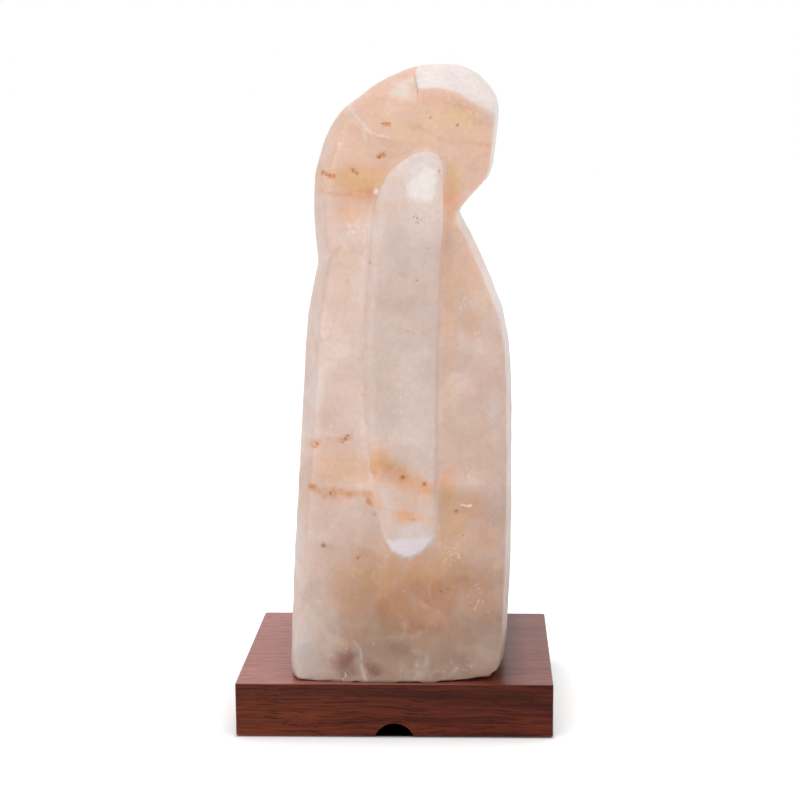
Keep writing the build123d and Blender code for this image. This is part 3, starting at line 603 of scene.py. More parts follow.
# (corners, width, strength) of cracks: the pale ones catch light, the dark ones hold clay
pale_cracks = [
    (ledge[:2], 1.3, 0.38), (ledge[1:3], 0.8, 0.50), (ledge[2:4], 1.1, 0.45), (ledge[3:], 0.7, 0.40),
    ([(-13.0, 249.0), (-12.2, 243.8)], 0.9, 0.22), ([(-10.4, 247.0), (-8.6, 244.4)], 0.8, 0.2),
    ([(30.8, 81.6), (33.0, 80.9), (34.8, 81.3)], 0.7, 0.6),
    ([(-18.2, 19.0), (-15.2, 15.6), (-15.0, 11.0)], 0.8, 0.16), ([(-15.0, 8.0), (-13.0, 1.2)], 1.2, 0.18),
]
dark_cracks = [
    ([(9.2, 272.2), (10.4, 268.0), (10.9, 264.8)], 0.6, 0.40), ([(10.9, 264.8), (11.2, 262.6)], 0.5, 0.2),
    ([(2.0, 162.2), (5.6, 162.0), (9.4, 160.2)], 0.5, 0.22), ([(29.0, 13.6), (35.2, 11.2)], 0.6, 0.3),
    ([(28.4, 11.0), (32.6, 9.8)], 0.6, 0.25), ([(22.0, 43.6), (25.8, 42.8)], 0.6, 0.4),
]
print("Clay grains", len(clay_grains), "and cracks", len(pale_cracks) + len(dark_cracks))

# %% [markdown]
# ### Rock salt
# The stone is halite, with an index of refraction of 1.544. Its wetted surface is waxy and half glossy,
# light goes in a few millimetres and comes out warmer, and small cracks and flakes inside show as pale
# flecks. One noise could colour it, but then all of the stone would look alike. Here the clouds are 34 mm
# across, the beds 7 mm thick and the grain 3.5 mm, and the tints that were painted on the points say
# where each shows.

# %% Patterns in stone
def ragged(tree, tint, noise, low, high, push=0.9):
    """A tint with ragged rims: noise pushes its border in and out between low and high."""
    pushed = add(tree, "Math", [noise, push, -push / 2], operation="MULTIPLY_ADD")
    total = add(tree, "Math", [tint, pushed], operation="ADD")
    return add(tree, "MapRange", {"Value": total, "From Min": low, "From Max": high},
               interpolation_type="SMOOTHSTEP")


def shaken(tree, place, size, reach, detail):
    """The place moved by noise of that size: by half the reach on average, both in millimetres."""
    noise = add(tree, "TexNoise", {"Vector": place, "Scale": 1 / (size * mm), "Detail": detail})
    moved = add(tree, "VectorMath", {0: noise.outputs["Color"], "Scale": reach * mm}, operation="SCALE")
    return add(tree, "VectorMath", [place, moved], operation="ADD")


def strongest(tree, marks):
    """The largest of many values at each place."""
    drawn = marks[0]
    for mark in marks[1:]:
        drawn = add(tree, "Math", [drawn, mark], operation="MAXIMUM")
    return drawn


def lay(tree, colour, layers, blend_type="MIX"):
    """Lays layers over a colour, one after another. Each is a factor and a shade."""
    for factor, shade in layers:
        colour = add(tree, "Mix", {0: factor, 6: colour, 7: shade}, data_type="RGBA", blend_type=blend_type)
    return colour


def salt_patterns(tree, place):
    """The salt's own noises by name, and its two webs of cleavage planes."""
    # beds lie at a slight tilt, and milky wisps rise steeply through the foot, where shade is painted
    beds_at = add(tree, "Mapping", {
        "Vector": place, "Rotation": (0.05, math.radians(7), 0), "Scale": (1.0, 1.0, 4.5),
    })
    wisps_at = add(tree, "Mapping", {
        "Vector": place, "Rotation": (0, math.radians(-14), 0), "Scale": (1.0, 1.0, 0.35),
    })
    # name: (place, size in millimetres, detail, roughness, distortion)
    noises = {
        "clouds": (place, 34, 5.0, 0.55, 0.5), "beds": (beds_at, 30, 4.0, 0.6, 0.9),
        "fine": (place, 3.5, 3.0, 0.6, 0.3), "wisps": (wisps_at, 8, 4.0, 0.55, 1.1),
        "speckle": (place, 1.7, 2.0, 0.5, 0.6), "crystals": (place, 2.2, 2.0, 0.5, 0.0),
    }
    made = {name: add(tree, "TexNoise", {
        "Vector": where, "Scale": 1 / (size * mm), "Detail": detail, "Roughness": rough, "Distortion": bend,
    }) for name, (where, size, detail, rough, bend) in noises.items()}
    bent = shaken(tree, place, 9, 8, 2.0)
    made["walls"] = add(tree, "TexVoronoi", {"Vector": bent, "Scale": 1 / (17 * mm)},
                        feature="DISTANCE_TO_EDGE")
    made["blocks"] = add(tree, "TexVoronoi", {"Vector": bent, "Scale": 1 / (11 * mm), "Smoothness": 0.35},
                         feature="SMOOTH_F1").outputs["Color"]
    return made


# %% [markdown]
# ### Marks that are finer than the mesh
# Grains of clay and hairline cracks are narrower than the 1.28 mm between two points, so the material
# draws them from their places. A finer mesh could carry them, but it would have millions of points. The
# place is shaken first, which turns round dots into crumbs and straight runs into cracks.

# %% Clay grains and cracks
def seen_flat(tree, place, size, reach, detail):
    """The shaken place as it is seen from the front, without its depth."""
    moved = shaken(tree, place, size, reach, detail)
    return add(tree, "VectorMath", [moved, (1, 0, 1)], operation="MULTIPLY")


def shaken_spot(x, h, reach):
    """Where shaking takes a spot at x and h, given in millimetres: half the reach further on."""
    return ((x + reach / 2) * mm, 0, (h + reach / 2) * mm + seat)


def clay_dots(tree, place):
    """1 on each named grain of clay, seen from the front."""
    reach = 3.0
    flat = seen_flat(tree, place, 1.6, reach, 2.0)
    dots = []
    for x, h, radius in clay_grains:
        away = add(tree, "VectorMath", [flat, shaken_spot(x, h, reach)], operation="DISTANCE")
        dots.append(add(tree, "MapRange", {
            "Value": away, "From Min": radius * 1.25 * mm, "From Max": radius * 0.4 * mm,
        }))
    return strongest(tree, dots)


def crack_lines(tree, place, *groups):
    """Fine wandering lines, seen from the front. For each group, the strength on its lines and 0 beside."""
    reach = 2.0
    flat = seen_flat(tree, place, 4.5, reach, 3.0)
    drawn = []
    for group in groups:
        marks = []
        for line, width, strength in group:
            for (x, h), (next_x, next_h) in zip(line, line[1:]):
                run = ((next_x - x) * mm, 0, (next_h - h) * mm)
                away = add(tree, "VectorMath", [flat, shaken_spot(x, h, reach)], operation="SUBTRACT")
                share = add(tree, "VectorMath", [away, run], operation="DOT_PRODUCT")
                share = add(tree, "MapRange", {"Value": share, "From Max": run[0] ** 2 + run[2] ** 2})
                nearest = add(tree, "VectorMath", {0: run, "Scale": share}, operation="SCALE")
                beside = add(tree, "VectorMath", [away, nearest], operation="DISTANCE")
                marks.append(add(tree, "MapRange", {
                    "Value": beside, "From Min": width * mm, "From Max": width * 0.3 * mm, "To Max": strength,
                }))
        drawn.append(strongest(tree, marks))
    return drawn


# %% [markdown]
# ### The stone's tints and flecks
# Each tint is a layer: a factor that says where it shows, and its shade. One colour ramp could hold them
# all, but layers can lie over one another as they do in stone: iron and clay stain it, milky salt and
# crust cover the stain. Some layers are painted light, on the sides, the crown and facets that catch it,
# and painted shade darkens the foot and the creases by the arm. Flecks come last, because cleavage planes
# catch the light from inside.

# %% Layers of the salt
def salt_tints(tree, salt, tint):
    """The salt's colour with its painted tints."""
    clouds, beds, fine = salt["clouds"], salt["beds"], salt["fine"]
    stops = [(0.30, "#d3b6a9"), (0.50, "#ddc4b9"), (0.68, "#e8d6ce")]
    colour = add(tree, "ValToRGB", {"Fac": clouds}, stops)
    bedded = add(tree, "MapRange", {"Value": beds, "From Min": 0.38, "From Max": 0.62})
    stain = lay(tree, "#eaae89", [(bedded, "#e2b281")])
    rust = add(tree, "MapRange", {"Value": beds, "From Min": 0.52, "From Max": 0.78, "To Max": 0.26})
    crust_and_top_light = add(tree, "MapRange", {
        "Value": fine, "From Min": 0.35, "From Max": 0.62, "To Min": 0.62, "To Max": 0.98,
    })
    crust_and_top_light = add(tree, "Math", [tint["cap"], crust_and_top_light], operation="MULTIPLY")
    wisps = add(tree, "MapRange", {
        "Value": salt["wisps"], "From Min": 0.50, "From Max": 0.68, "To Max": 0.42,
    })
    wisps = add(tree, "Math", [wisps, tint["painted_shade"]], operation="MULTIPLY")
    colour = lay(tree, colour, [
        (ragged(tree, tint["arm"], fine, 0.2, 1.6), "#dcc8c0"),
        (ragged(tree, tint["peach"], clouds, 0.0, 1.0, 0.35), stain),
        (rust, "#daa27a"),
        (ragged(tree, tint["golden"], beds, 0.05, 1.5, 0.5), "#ebc596"),
        # milky salt, and painted light on the side bevels, the edges and the top of the arm
        (ragged(tree, tint["milk_and_side_light"], clouds, 0.1, 1.25), "#e3dbdb"),
        # white crust, partly painted light on the crown
        (crust_and_top_light, "#e6ddda"),
        # painted highlights on flat facets
        (tint["pale"], "#ece4dd"),
        # painted light on the arm's tip facet
        (tint["painted_tip_light"], "#e8dde5"),
        (ragged(tree, tint["ochre"], fine, 0.15, 1.05, 0.7), "#d0833c"),
        (wisps, "#e0d3cd"),
    ])
    # painted shade: the foot, the right of the robe and the creases by the arm are darker
    shaded = add(tree, "Math", [clouds, 0.5, 0.75], operation="MULTIPLY_ADD")
    shaded = add(tree, "Math", [tint["painted_shade"], shaded], operation="MULTIPLY")
    smoky = ragged(tree, tint["smoke"], fine, 0.0, 1.1, 0.5)
    return lay(tree, colour, [(shaded, "#b8a797"), (smoky, "#c79f93")], "MULTIPLY")


def cleavage(tree, salt):
    """Soft pale walls between cells of the stone, and here and there a bright fleck on one."""
    walls, fine = salt["walls"], salt["fine"]
    soft = add(tree, "MapRange", {"Value": walls, "From Min": 0.13, "From Max": 0.0})
    cloudy = add(tree, "MapRange", {
        "Value": salt["clouds"], "From Min": 0.48, "From Max": 0.64, "To Max": 0.16,
    })
    broken = add(tree, "MapRange", {"Value": fine, "From Min": 0.38, "From Max": 0.62})
    veins = add(tree, "Math", [soft, cloudy], operation="MULTIPLY")
    veins = add(tree, "Math", [veins, broken], operation="MULTIPLY")
    sharp = add(tree, "MapRange", {"Value": walls, "From Min": 0.030, "From Max": 0.0})
    rare = add(tree, "MapRange", {"Value": fine, "From Min": 0.60, "From Max": 0.74, "To Max": 0.55})
    return [add(tree, "Math", [sharp, rare], operation="MULTIPLY"), veins]


def sparkle(tree, salt, painted_shade):
    """A factor near 1 that varies from crystal to crystal, and more in the dull foot from block to block."""
    crystals = add(tree, "MapRange", {
        "Value": salt["crystals"], "From Min": 0.3, "From Max": 0.7, "To Min": 0.95, "To Max": 1.03,
    })
    blocks = add(tree, "SeparateXYZ", [salt["blocks"]]).outputs["X"]
    blocks = add(tree, "Math", [blocks, 0.5], operation="SUBTRACT")
    uneven = add(tree, "Math", [painted_shade, 0.16, 0.05], operation="MULTIPLY_ADD")
    return add(tree, "Math", [blocks, uneven, crystals], operation="MULTIPLY_ADD")


# %% [markdown]
# ### The salt's shader
# A principled shader with scattering stands for salt that light enters and leaves again a few millimetres
# on. Real salt could be a volume, but a volume this dense is slow and looks no better. The relief is only
# what wetting left: shallow pits in the grain.

# %% Rock salt material
def rock_salt():
    """The wetted salt. Its cracks stay out of the relief, because a bump works out thrice what feeds it."""
    material, tree = new_material("rock_salt_wetted")
    place = add(tree, "TexCoord").outputs["Object"]
    tint = {name: add(tree, "Attribute", attribute_name=name).outputs["Fac"] for name in tints}
    salt = salt_patterns(tree, place)
    colour = salt_tints(tree, salt, tint)

    # the named grains and cracks are on the front alone, and elsewhere a bed holds about one grain in 14 mm
    in_front = add(tree, "SeparateXYZ", [place]).outputs["Y"]
    in_front = add(tree, "MapRange", {"Value": in_front, "From Max": -1 * mm})
    marks = [clay_dots(tree, place), *crack_lines(tree, place, dark_cracks, pale_cracks)]
    grains, dark, bright = [add(tree, "Math", [mark, in_front], operation="MULTIPLY") for mark in marks]
    scattered = add(tree, "TexVoronoi", {"Vector": place, "Scale": 1 / (14 * mm)})
    scattered = add(tree, "MapRange", {"Value": scattered, "From Min": 0.065, "From Max": 0.03})
    in_beds = add(tree, "MapRange", {"Value": salt["beds"], "From Min": 0.54, "From Max": 0.66})
    scattered = add(tree, "Math", [scattered, in_beds], operation="MULTIPLY")
    grains = add(tree, "Math", [strongest(tree, [grains, scattered]), 0.62], operation="MULTIPLY")
    # white frost, and painted highlights on the ledge, the arm's top and the neck
    frost_and_glints = ragged(tree, tint["frost_and_glints"], salt["fine"], 0.15, 0.95, 0.4)
    frost_and_glints = strongest(tree, [frost_and_glints, *cleavage(tree, salt)])
    speckle = add(tree, "Math", [tint["crackle"], 0.22, salt["speckle"]], operation="MULTIPLY_ADD")
    speckle = add(tree, "MapRange", {"Value": speckle, "From Min": 0.60, "From Max": 0.86, "To Max": 0.50})
    crackled = add(tree, "MapRange", {"Value": tint["crackle"], "From Min": 0.05, "From Max": 0.4})
    speckle = add(tree, "Math", [speckle, crackled], operation="MULTIPLY")
    bright = strongest(tree, [frost_and_glints, bright])
    colour = lay(tree, colour, [
        (grains, "#7c5640"), (dark, "#a8806c"), (bright, "#f4e6de"), (speckle, "#f3e4da"),
    ])
    colour = lay(tree, colour, [(1.0, sparkle(tree, salt, tint["painted_shade"]))], "MULTIPLY")

    relief = add(tree, "Math", [salt["fine"], 0.35, salt["clouds"]], operation="MULTIPLY_ADD")
    relief = add(tree, "Math", [frost_and_glints, 0.5, relief], operation="MULTIPLY_ADD")
    rough = add(tree, "MapRange", {
        "Value": salt["fine"], "From Min": 0.3, "From Max": 0.7, "To Min": 0.30, "To Max": 0.48,
    })
    add(tree, "OutputMaterial", {"Surface": add(tree, "BsdfPrincipled", {
        "Base Color": colour, "Roughness": rough, "IOR": 1.544, "Subsurface Weight": 0.30,
        "Subsurface Radius": (1.0, 0.65, 0.50), "Subsurface Scale": 5 * mm,
        "Normal": add(tree, "Bump", {"Height": relief, "Strength": 0.28, "Distance": 1.2 * mm}),
    })})
    return material


salt_mesh.materials.clear()
salt_mesh.materials.append(rock_salt())
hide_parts("salt_block")
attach(salt, "lamp")

# %% [markdown]
# ## The plinth
# A planed board of dense red-brown hardwood with its grain along x, stained and varnished. Wood could be
# a picture wrapped round the board, but then its lines would break at the edges. Here the grain is noise
# in the solid, drawn out along x: year bands 6 mm wide, fibres 1.1 mm, and short dark pores 8 mm long.
# The top is painted lighter and milky: a painted reflection of the white room in the varnish.

# %% Grain
def along_grain(tree, where, length, width, detail):
    """Noise whose marks are about that long and wide, in millimetres."""
    scale = (1 / (length * mm), 1 / (width * mm), 1 / (width * mm))
    at = add(tree, "Mapping", {"Vector": where, "Scale": scale})
    return add(tree, "TexNoise", {"Vector": at, "Scale": 1.0, "Detail": detail, "Roughness": 0.6})


def round_the_pith(tree, place):
    """The place, its second number the distance from the pith: year bands are arcs on the sawn ends."""
    pith_depth, stretch = 80 * mm, 0.25
    spot = add(tree, "SeparateXYZ", [place]).outputs
    pith = add(tree, "VectorMath", [place, (0, 0, pith_depth)], operation="ADD")
    pith = add(tree, "VectorMath", [pith, (0, 1, 1)], operation="MULTIPLY")
    ring = add(tree, "VectorMath", [pith], operation="LENGTH")
    aside = add(tree, "Math", [spot["Y"], stretch], operation="MULTIPLY")
    return add(tree, "CombineXYZ", {"X": spot["X"], "Y": ring, "Z": aside})


# %% [markdown]
# ### Stain, grain and varnish
# The stain sits in the bands, fibres and pores, and the varnish lies over all of them. Each is a layer of
# its own scale. A clear coat would be the plain way to varnish, but it would mirror the white room over
# the whole front. So the shader has low gloss, and a painted reflection, a milky layer, stands for the
# sheen of the top, with a painted shadow beside the salt.

# %% Varnished hardwood
def varnished_hardwood():
    """The plinth's wood, varnished, with a painted sheen on top that is milkier to the left."""
    material, tree = new_material("varnished_hardwood")
    given = add(tree, "TexCoord").outputs
    sway = add(tree, "TexNoise", {"Vector": given["Object"], "Scale": 1 / (50 * mm), "Detail": 2.0})
    sway = add(tree, "Math", [sway, 6 * mm], operation="MULTIPLY")
    swayed = add(tree, "CombineXYZ", {"Z": sway})
    place = add(tree, "VectorMath", [given["Object"], swayed], operation="ADD")
    spot = add(tree, "SeparateXYZ", [place]).outputs
    bands = along_grain(tree, round_the_pith(tree, place), 110, 6, 4.0)
    fibres = along_grain(tree, place, 30, 1.1, 4.0)
    pores = along_grain(tree, place, 8, 0.7, 2.0)
    stops = [(0.30, "#36110a"), (0.44, "#4a190e"), (0.56, "#672a18"), (0.70, "#44150d")]
    colour = add(tree, "ValToRGB", {"Fac": bands}, stops)

    # the board is a little lighter at its left end, and a dark year band runs along its upper half
    lighter = add(tree, "MapRange", {
        "Value": spot["X"], "From Min": 50 * mm, "From Max": -70 * mm, "To Max": 0.55,
    })
    banded = add(tree, "MapRange", {
        "Value": spot["Z"], "From Min": 12 * mm, "From Max": 20 * mm, "To Max": 0.34,
    })
    colour = lay(tree, colour, [(lighter, "#7f3c24"), (banded, "#35120b")])

    # painted reflection: the top is lighter and milkier, most to the left; a painted shadow keeps it darker
    # close to the right side of the salt
    top = add(tree, "SeparateXYZ", [given["Normal"]]).outputs["Z"]
    top = add(tree, "MapRange", {"Value": top, "From Min": 0.5, "From Max": 0.9})
    half_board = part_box("wood_plinth")[1].x
    sheen_share = add(tree, "MapRange", {"Value": spot["X"], "From Min": -half_board, "From Max": half_board})
    sheen_share = add(tree, "ValToRGB", {"Fac": sheen_share}, stops=[
        (0.10, 0.56), (0.70, 0.20), (0.84, 0.02), (0.93, 0.24),
    ])
    painted_sheen = add(tree, "Math", [top, sheen_share], operation="MULTIPLY")
    bright = add(tree, "MapRange", {"Value": sheen_share, "From Max": 0.2, "To Min": 0.12, "To Max": 0.9})
    bright = add(tree, "Math", [top, bright, 1.0], operation="MULTIPLY_ADD")
    colour = add(tree, "VectorMath", {0: colour, "Scale": bright}, operation="SCALE")

    # fibres and pores show less through the painted sheen
    faded = add(tree, "Math", [top, -0.5, 1.0], operation="MULTIPLY_ADD")
    dark = add(tree, "MapRange", {"Value": fibres, "From Min": 0.46, "From Max": 0.66, "To Max": 0.66})
    pore = add(tree, "MapRange", {"Value": pores, "From Min": 0.56, "From Max": 0.66, "To Max": 0.6})
    dark, pore = [add(tree, "Math", [mark, faded], operation="MULTIPLY") for mark in (dark, pore)]
    colour = lay(tree, colour, [(painted_sheen, "#d4928a"), (dark, "#2c0c08"), (pore, "#1a0906")])
    relief = add(tree, "Math", [fibres, -0.5, pore], operation="MULTIPLY_ADD")
    add(tree, "OutputMaterial", {"Surface": add(tree, "BsdfPrincipled", {
        "Base Color": colour, "Roughness": 0.22, "IOR": 1.5, "Specular IOR Level": 0.14,
        "Normal": add(tree, "Bump", {"Height": relief, "Strength": 0.25, "Distance": 0.15 * mm}, invert=True),
    })})
    return material


def dress(material, *names):
    """Gives CAD nodes a material in place of their plain one."""
    for name in names:
        mesh = nodes[name].data
        mesh.materials.clear()
        mesh.materials.append(material)


dress(varnished_hardwood(), "wood_plinth")

# %% [markdown]
# ## Finishes for the small parts
# Most of the lampholder is out of sight until the lamp is turned over. Each part still gets the finish of
# the real one. One function covers the plain solids: a base colour, a mottle of a given grain size that
# varies it, and a light bump of the same grain.

# %% A finish for a solid part
def solid_finish(name, colour, shade, size, roughness, bump=0.1, deep=0.05, **shader_inputs):
    """A material of two near colours in a mottle of a size in millimetres, which is its bump too."""
    material, tree = new_material(name)
    place = add(tree, "TexCoord").outputs["Object"]
    mottle = add(tree, "TexNoise", {
        "Vector": place, "Scale": 1 / (size * mm), "Detail": 4.0, "Roughness": 0.6,
    })
    tint = add(tree, "ValToRGB", {"Fac": mottle}, stops=[(0.35, shade), (0.65, colour)])
    rough = add(tree, "MapRange", {
        "Value": mottle, "To Min": max(roughness - 0.12, 0.02), "To Max": roughness + 0.12,
    })
    relief = add(tree, "Bump", {"Height": mottle, "Strength": bump, "Distance": deep * mm})
    inputs = {"Base Color": tint, "Roughness": rough, "Normal": relief}
    inputs.update({key.replace("_", " "): value for key, value in shader_inputs.items()})
    add(tree, "OutputMaterial", {"Surface": add(tree, "BsdfPrincipled", inputs)})
    return material


# zinc plating: a pale bluish metal, a little cloudy
zinc = solid_finish("zinc_plated_steel", "#c9ccd0", "#a9adb3", 3, 0.32, Metallic=1.0)
# pressed wool felt: dull, with a fuzz of short fibres
felt = solid_finish("wool_felt", "#4c4340", "#2b2523", 0.6, 0.85, 0.9, 0.4, Sheen_Weight=0.4)
# injection-moulded nylon: waxy and slightly see-through
nylon = solid_finish("moulded_nylon", "#e6e2d8", "#d8d3c6", 6, 0.42, Subsurface_Weight=0.3,
                     Subsurface_Scale=0.002)
# phenolic moulding compound: black with a faint brown mottle and a moulded gloss
phenolic = solid_finish("black_phenolic", "#1c1917", "#110f0e", 4, 0.30, Coat_Weight=0.2)
# unglazed steatite porcelain: off-white, fine and matt
porcelain = solid_finish("steatite_porcelain", "#ebe6da", "#ded8c9", 0.8, 0.50, 0.2)
# rolled brass: yellow metal with a slight tarnish
brass = solid_finish("rolled_brass", "#d9b263", "#b98f45", 5, 0.28, Metallic=1.0)
# phosphor bronze: redder than brass, springy sheet
bronze = solid_finish("phosphor_bronze", "#c98d5e", "#a87046", 5, 0.30, Metallic=1.0)
# hardened spring steel, blued to a grey straw
spring = solid_finish("tempered_spring_steel", "#8f9296", "#6e6d70", 4, 0.30, Metallic=1.0)
# soft solder: a dull pale drop with a frosted skin
solder = solid_finish("soft_solder", "#b9b8b4", "#94938f", 0.9, 0.42, 0.4, Metallic=1.0)
# black vitrite glass between cap and tip
vitrite = solid_finish("vitrite_glass", "#0e0d10", "#060607", 3, 0.08, 0.03)
# nickel on brass: warm white metal, brightly plated
nickel = solid_finish("nickel_plated_brass", "#d4cec2", "#bcb5a8", 6, 0.16, Metallic=1.0)
# drawn nickel wire and drawn tungsten
nickel_wire = solid_finish("drawn_nickel_wire", "#c2beb6", "#a39f97", 0.8, 0.28, Metallic=1.0)
tungsten = solid_finish("drawn_tungsten", "#6d6a68", "#4b4948", 0.5, 0.38, Metallic=1.0)
# blown soda-lime glass: clear, with a hint of green in its edges; the stem is lead-free pressed glass
bulb_glass = solid_finish("clear_blown_glass", "#f7fbf9", "#f3f8f6", 12, 0.12, 0.02, Transmission_Weight=1.0,
                          IOR=1.52)
stem_glass = solid_finish("pressed_stem_glass", "#eef3f1", "#e6ecea", 2, 0.16, 0.1, Transmission_Weight=1.0,
                          IOR=1.54)

dress(zinc, "plinth_screws", "terminal_screws")
dress(nylon, "screw_plugs")
dress(phenolic, "holder_cap", "holder_sleeve", "collar_ring")
dress(porcelain, "contact_carrier")
dress(brass, "live_terminal", "neutral_terminal", "shell_rivets", "screw_shell")
dress(bronze, "centre_contact", "side_contact")
dress(spring, "spring_clip_left", "spring_clip_right")
dress(solder, "bulb_tip")
dress(vitrite, "bulb_insulator")
dress(bulb_glass, "bulb_glass")
dress(stem_glass, "bulb_stem")
dress(nickel_wire, "lead_wires")
print("Materials", len(bpy.data.materials))

# %% [markdown]
# ## Parts that Geometry Nodes make
# Threads and windings follow a rule, so each is a small tree with named sizes. Mesh code could place
# every point too, but a tree can be opened and its sizes turned while one looks. The tree ends in a
# material, its result becomes a plain mesh, and the modifier goes before the piece is placed on its body.

# %% Geometry Nodes helpers
def new_tree(name, sizes):
    """A geometry tree with named number inputs, and the sockets of its input node."""
    tree = bpy.data.node_groups.new(name, "GeometryNodeTree")
    tree.interface.new_socket("Geometry", in_out="INPUT", socket_type="NodeSocketGeometry")
    for key, value in sizes.items():
        kind = "NodeSocketInt" if isinstance(value, int) else "NodeSocketFloat"
        tree.interface.new_socket(key, in_out="INPUT", socket_type=kind)
    tree.interface.new_socket("Geometry", in_out="OUTPUT", socket_type="NodeSocketGeometry")
    return tree, add(tree, "NodeGroupInput").outputs


def finish_tree(tree, geometry, material):
    """Ends a tree: its geometry goes to the output, with nothing instanced, in its material."""
    real = add(tree, "GeometryNodeRealizeInstances", {"Geometry": geometry})
    dressed = add(tree, "GeometryNodeSetMaterial", {"Geometry": real, "Material": material})
    add(tree, "NodeGroupOutput", {"Geometry": dressed})
    return tree


def grown(name, tree, sizes, source=None):
    """Runs a tree with these sizes, on a source object or on nothing, and returns a plain mesh object."""
    carrier = source or bpy.data.objects.new(name + "_work", bpy.data.meshes.new(name + "_work"))
    bpy.context.scene.collection.objects.link(carrier)
    modifier = carrier.modifiers.new("tree", "NODES")
    modifier.node_group = tree
    for socket in tree.interface.items_tree:
        if socket.in_out == "INPUT" and socket.name in sizes:
            modifier[socket.identifier] = sizes[socket.name]
    evaluated = carrier.evaluated_get(bpy.context.evaluated_depsgraph_get())
    mesh = bpy.data.meshes.new_from_object(evaluated)
    bpy.data.objects.remove(carrier)
    piece = bpy.data.objects.new(name, mesh)
    bpy.context.scene.collection.objects.link(piece)
    print(name, len(mesh.vertices), "points")
    return piece


def place_on(piece, body, slot, *replaced):
    """Puts a piece on its body, in place of CAD nodes. Its finish slot is not used."""
    if replaced:
        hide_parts(*replaced)
    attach(piece, body)


# %% [markdown]
# ### The rolled threads
# The cap of the bulb and the liner of the holder are thin sheet, rolled to a round 14 mm thread of 2.82
# mm pitch. A swept wire would only add a ridge to a tube. Here a flat grid is wrapped round the axis, and
# its radius swells and shrinks with height and angle together, which is how a rolled thread looks inside
# and out. Solidify gives it its wall.

# %% Rolled thread tree
thread_sizes = {
    "Radius": 6.95 * mm, "Depth": 0.3 * mm, "Pitch": 2.822 * mm,
    "Bottom": 0.0, "Height": 16 * mm, "Plain": 2.5 * mm,
}


def rolled_thread_tree(material):
    """A tube wrapped from a flat grid, its radius smaller in the groove of the thread."""
    tree, given = new_tree("rolled_thread", thread_sizes)
    points_round, points_up = 73, 72
    grid = add(tree, "GeometryNodeMeshGrid", {
        "Size X": 1.0, "Size Y": 1.0, "Vertices X": points_round, "Vertices Y": points_up,
    })
    at = add(tree, "SeparateXYZ", [add(tree, "GeometryNodeInputPosition")]).outputs
    turn = add(tree, "Math", [at["X"], 2 * math.pi], operation="MULTIPLY")
    share = add(tree, "Math", [at["Y"], 0.5], operation="ADD")
    climb = add(tree, "Math", [share, given["Height"]], operation="MULTIPLY")
    level = add(tree, "Math", [climb, given["Bottom"]], operation="ADD")
    phase = add(tree, "Math", [level, given["Pitch"]], operation="DIVIDE")
    phase = add(tree, "Math", [phase, 2 * math.pi], operation="MULTIPLY")
    phase = add(tree, "Math", [phase, turn], operation="SUBTRACT")
    wave = add(tree, "Math", [phase], operation="COSINE")
    wave = add(tree, "Math", [wave, 0.5, -0.5], operation="MULTIPLY_ADD")
    # the sheet is plain at both ends
    left = add(tree, "Math", [given["Height"], climb], operation="SUBTRACT")
    end = add(tree, "Math", [left, climb], operation="MINIMUM")
    fade = add(tree, "MapRange", {"Value": end, "From Min": 0.3 * mm, "From Max": given["Plain"]},
               interpolation_type="SMOOTHSTEP")
    swell = add(tree, "Math", [wave, given["Depth"]], operation="MULTIPLY")
    swell = add(tree, "Math", [swell, fade], operation="MULTIPLY")
    radius = add(tree, "Math", [given["Radius"], swell], operation="ADD")
    x, y = [add(tree, "Math", [turn], operation=wave_kind) for wave_kind in ("COSINE", "SINE")]
    x, y = [add(tree, "Math", [radius, way], operation="MULTIPLY") for way in (x, y)]
    spot = add(tree, "CombineXYZ", {"X": x, "Y": y, "Z": level})
    wrapped = add(tree, "GeometryNodeSetPosition", {"Geometry": grid, "Position": spot})
    merged = add(tree, "GeometryNodeMergeByDistance", {"Geometry": wrapped, "Distance": 0.005 * mm})
    return finish_tree(tree, add(tree, "GeometryNodeSetShadeSmooth", {"Geometry": merged}), material)


# %% Threads of the cap and the liner
def rolled_thread(name, material, node, sizes, floor, wall):
    """A threaded tube as wide and as high as a CAD node, from a floor upwards, with its wall inside."""
    low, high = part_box(node)
    given = {"Radius": high.x, "Bottom": low.z + floor, "Height": high.z - low.z - floor, **sizes}
    piece = grown(name, rolled_thread_tree(material), {**thread_sizes, **given})
    solid = piece.modifiers.new("wall", "SOLIDIFY")
    solid.thickness = wall
    solid.offset = -1
    return piece


bulb_thread = rolled_thread("bulb_cap_thread", nickel, "bulb_cap", {"Depth": 0.45 * mm}, 0, 0.35 * mm)
place_on(bulb_thread, "bulb", "nickel_plated_brass", "bulb_cap")
shell_sizes = {"Depth": 0.2 * mm, "Plain": 2.0 * mm}
shell_thread = rolled_thread("screw_shell_thread", brass, "screw_shell", shell_sizes, 0.8 * mm, 0.3 * mm)
place_on(shell_thread, "lampholder", "brass")

# %% [markdown]
# ### The filament
# The tungsten wire is wound into a tiny coil, and the coil is held in an arch by the two nickel wires. A
# helix could be worked out point by point, but a tree winds it round any curve. The arch is a plain
# curve. The tree walks along it and swings each point round the curve's own normal, and a round profile
# turns that path into wire. The real coil has some 300 turns, too fine to see, so here it has 46.

# %% Filament coil
coil_sizes = {"Turns": 46, "Coil Radius": 0.33 * mm, "Wire Radius": 0.07 * mm}
points_in_turn = 12.0


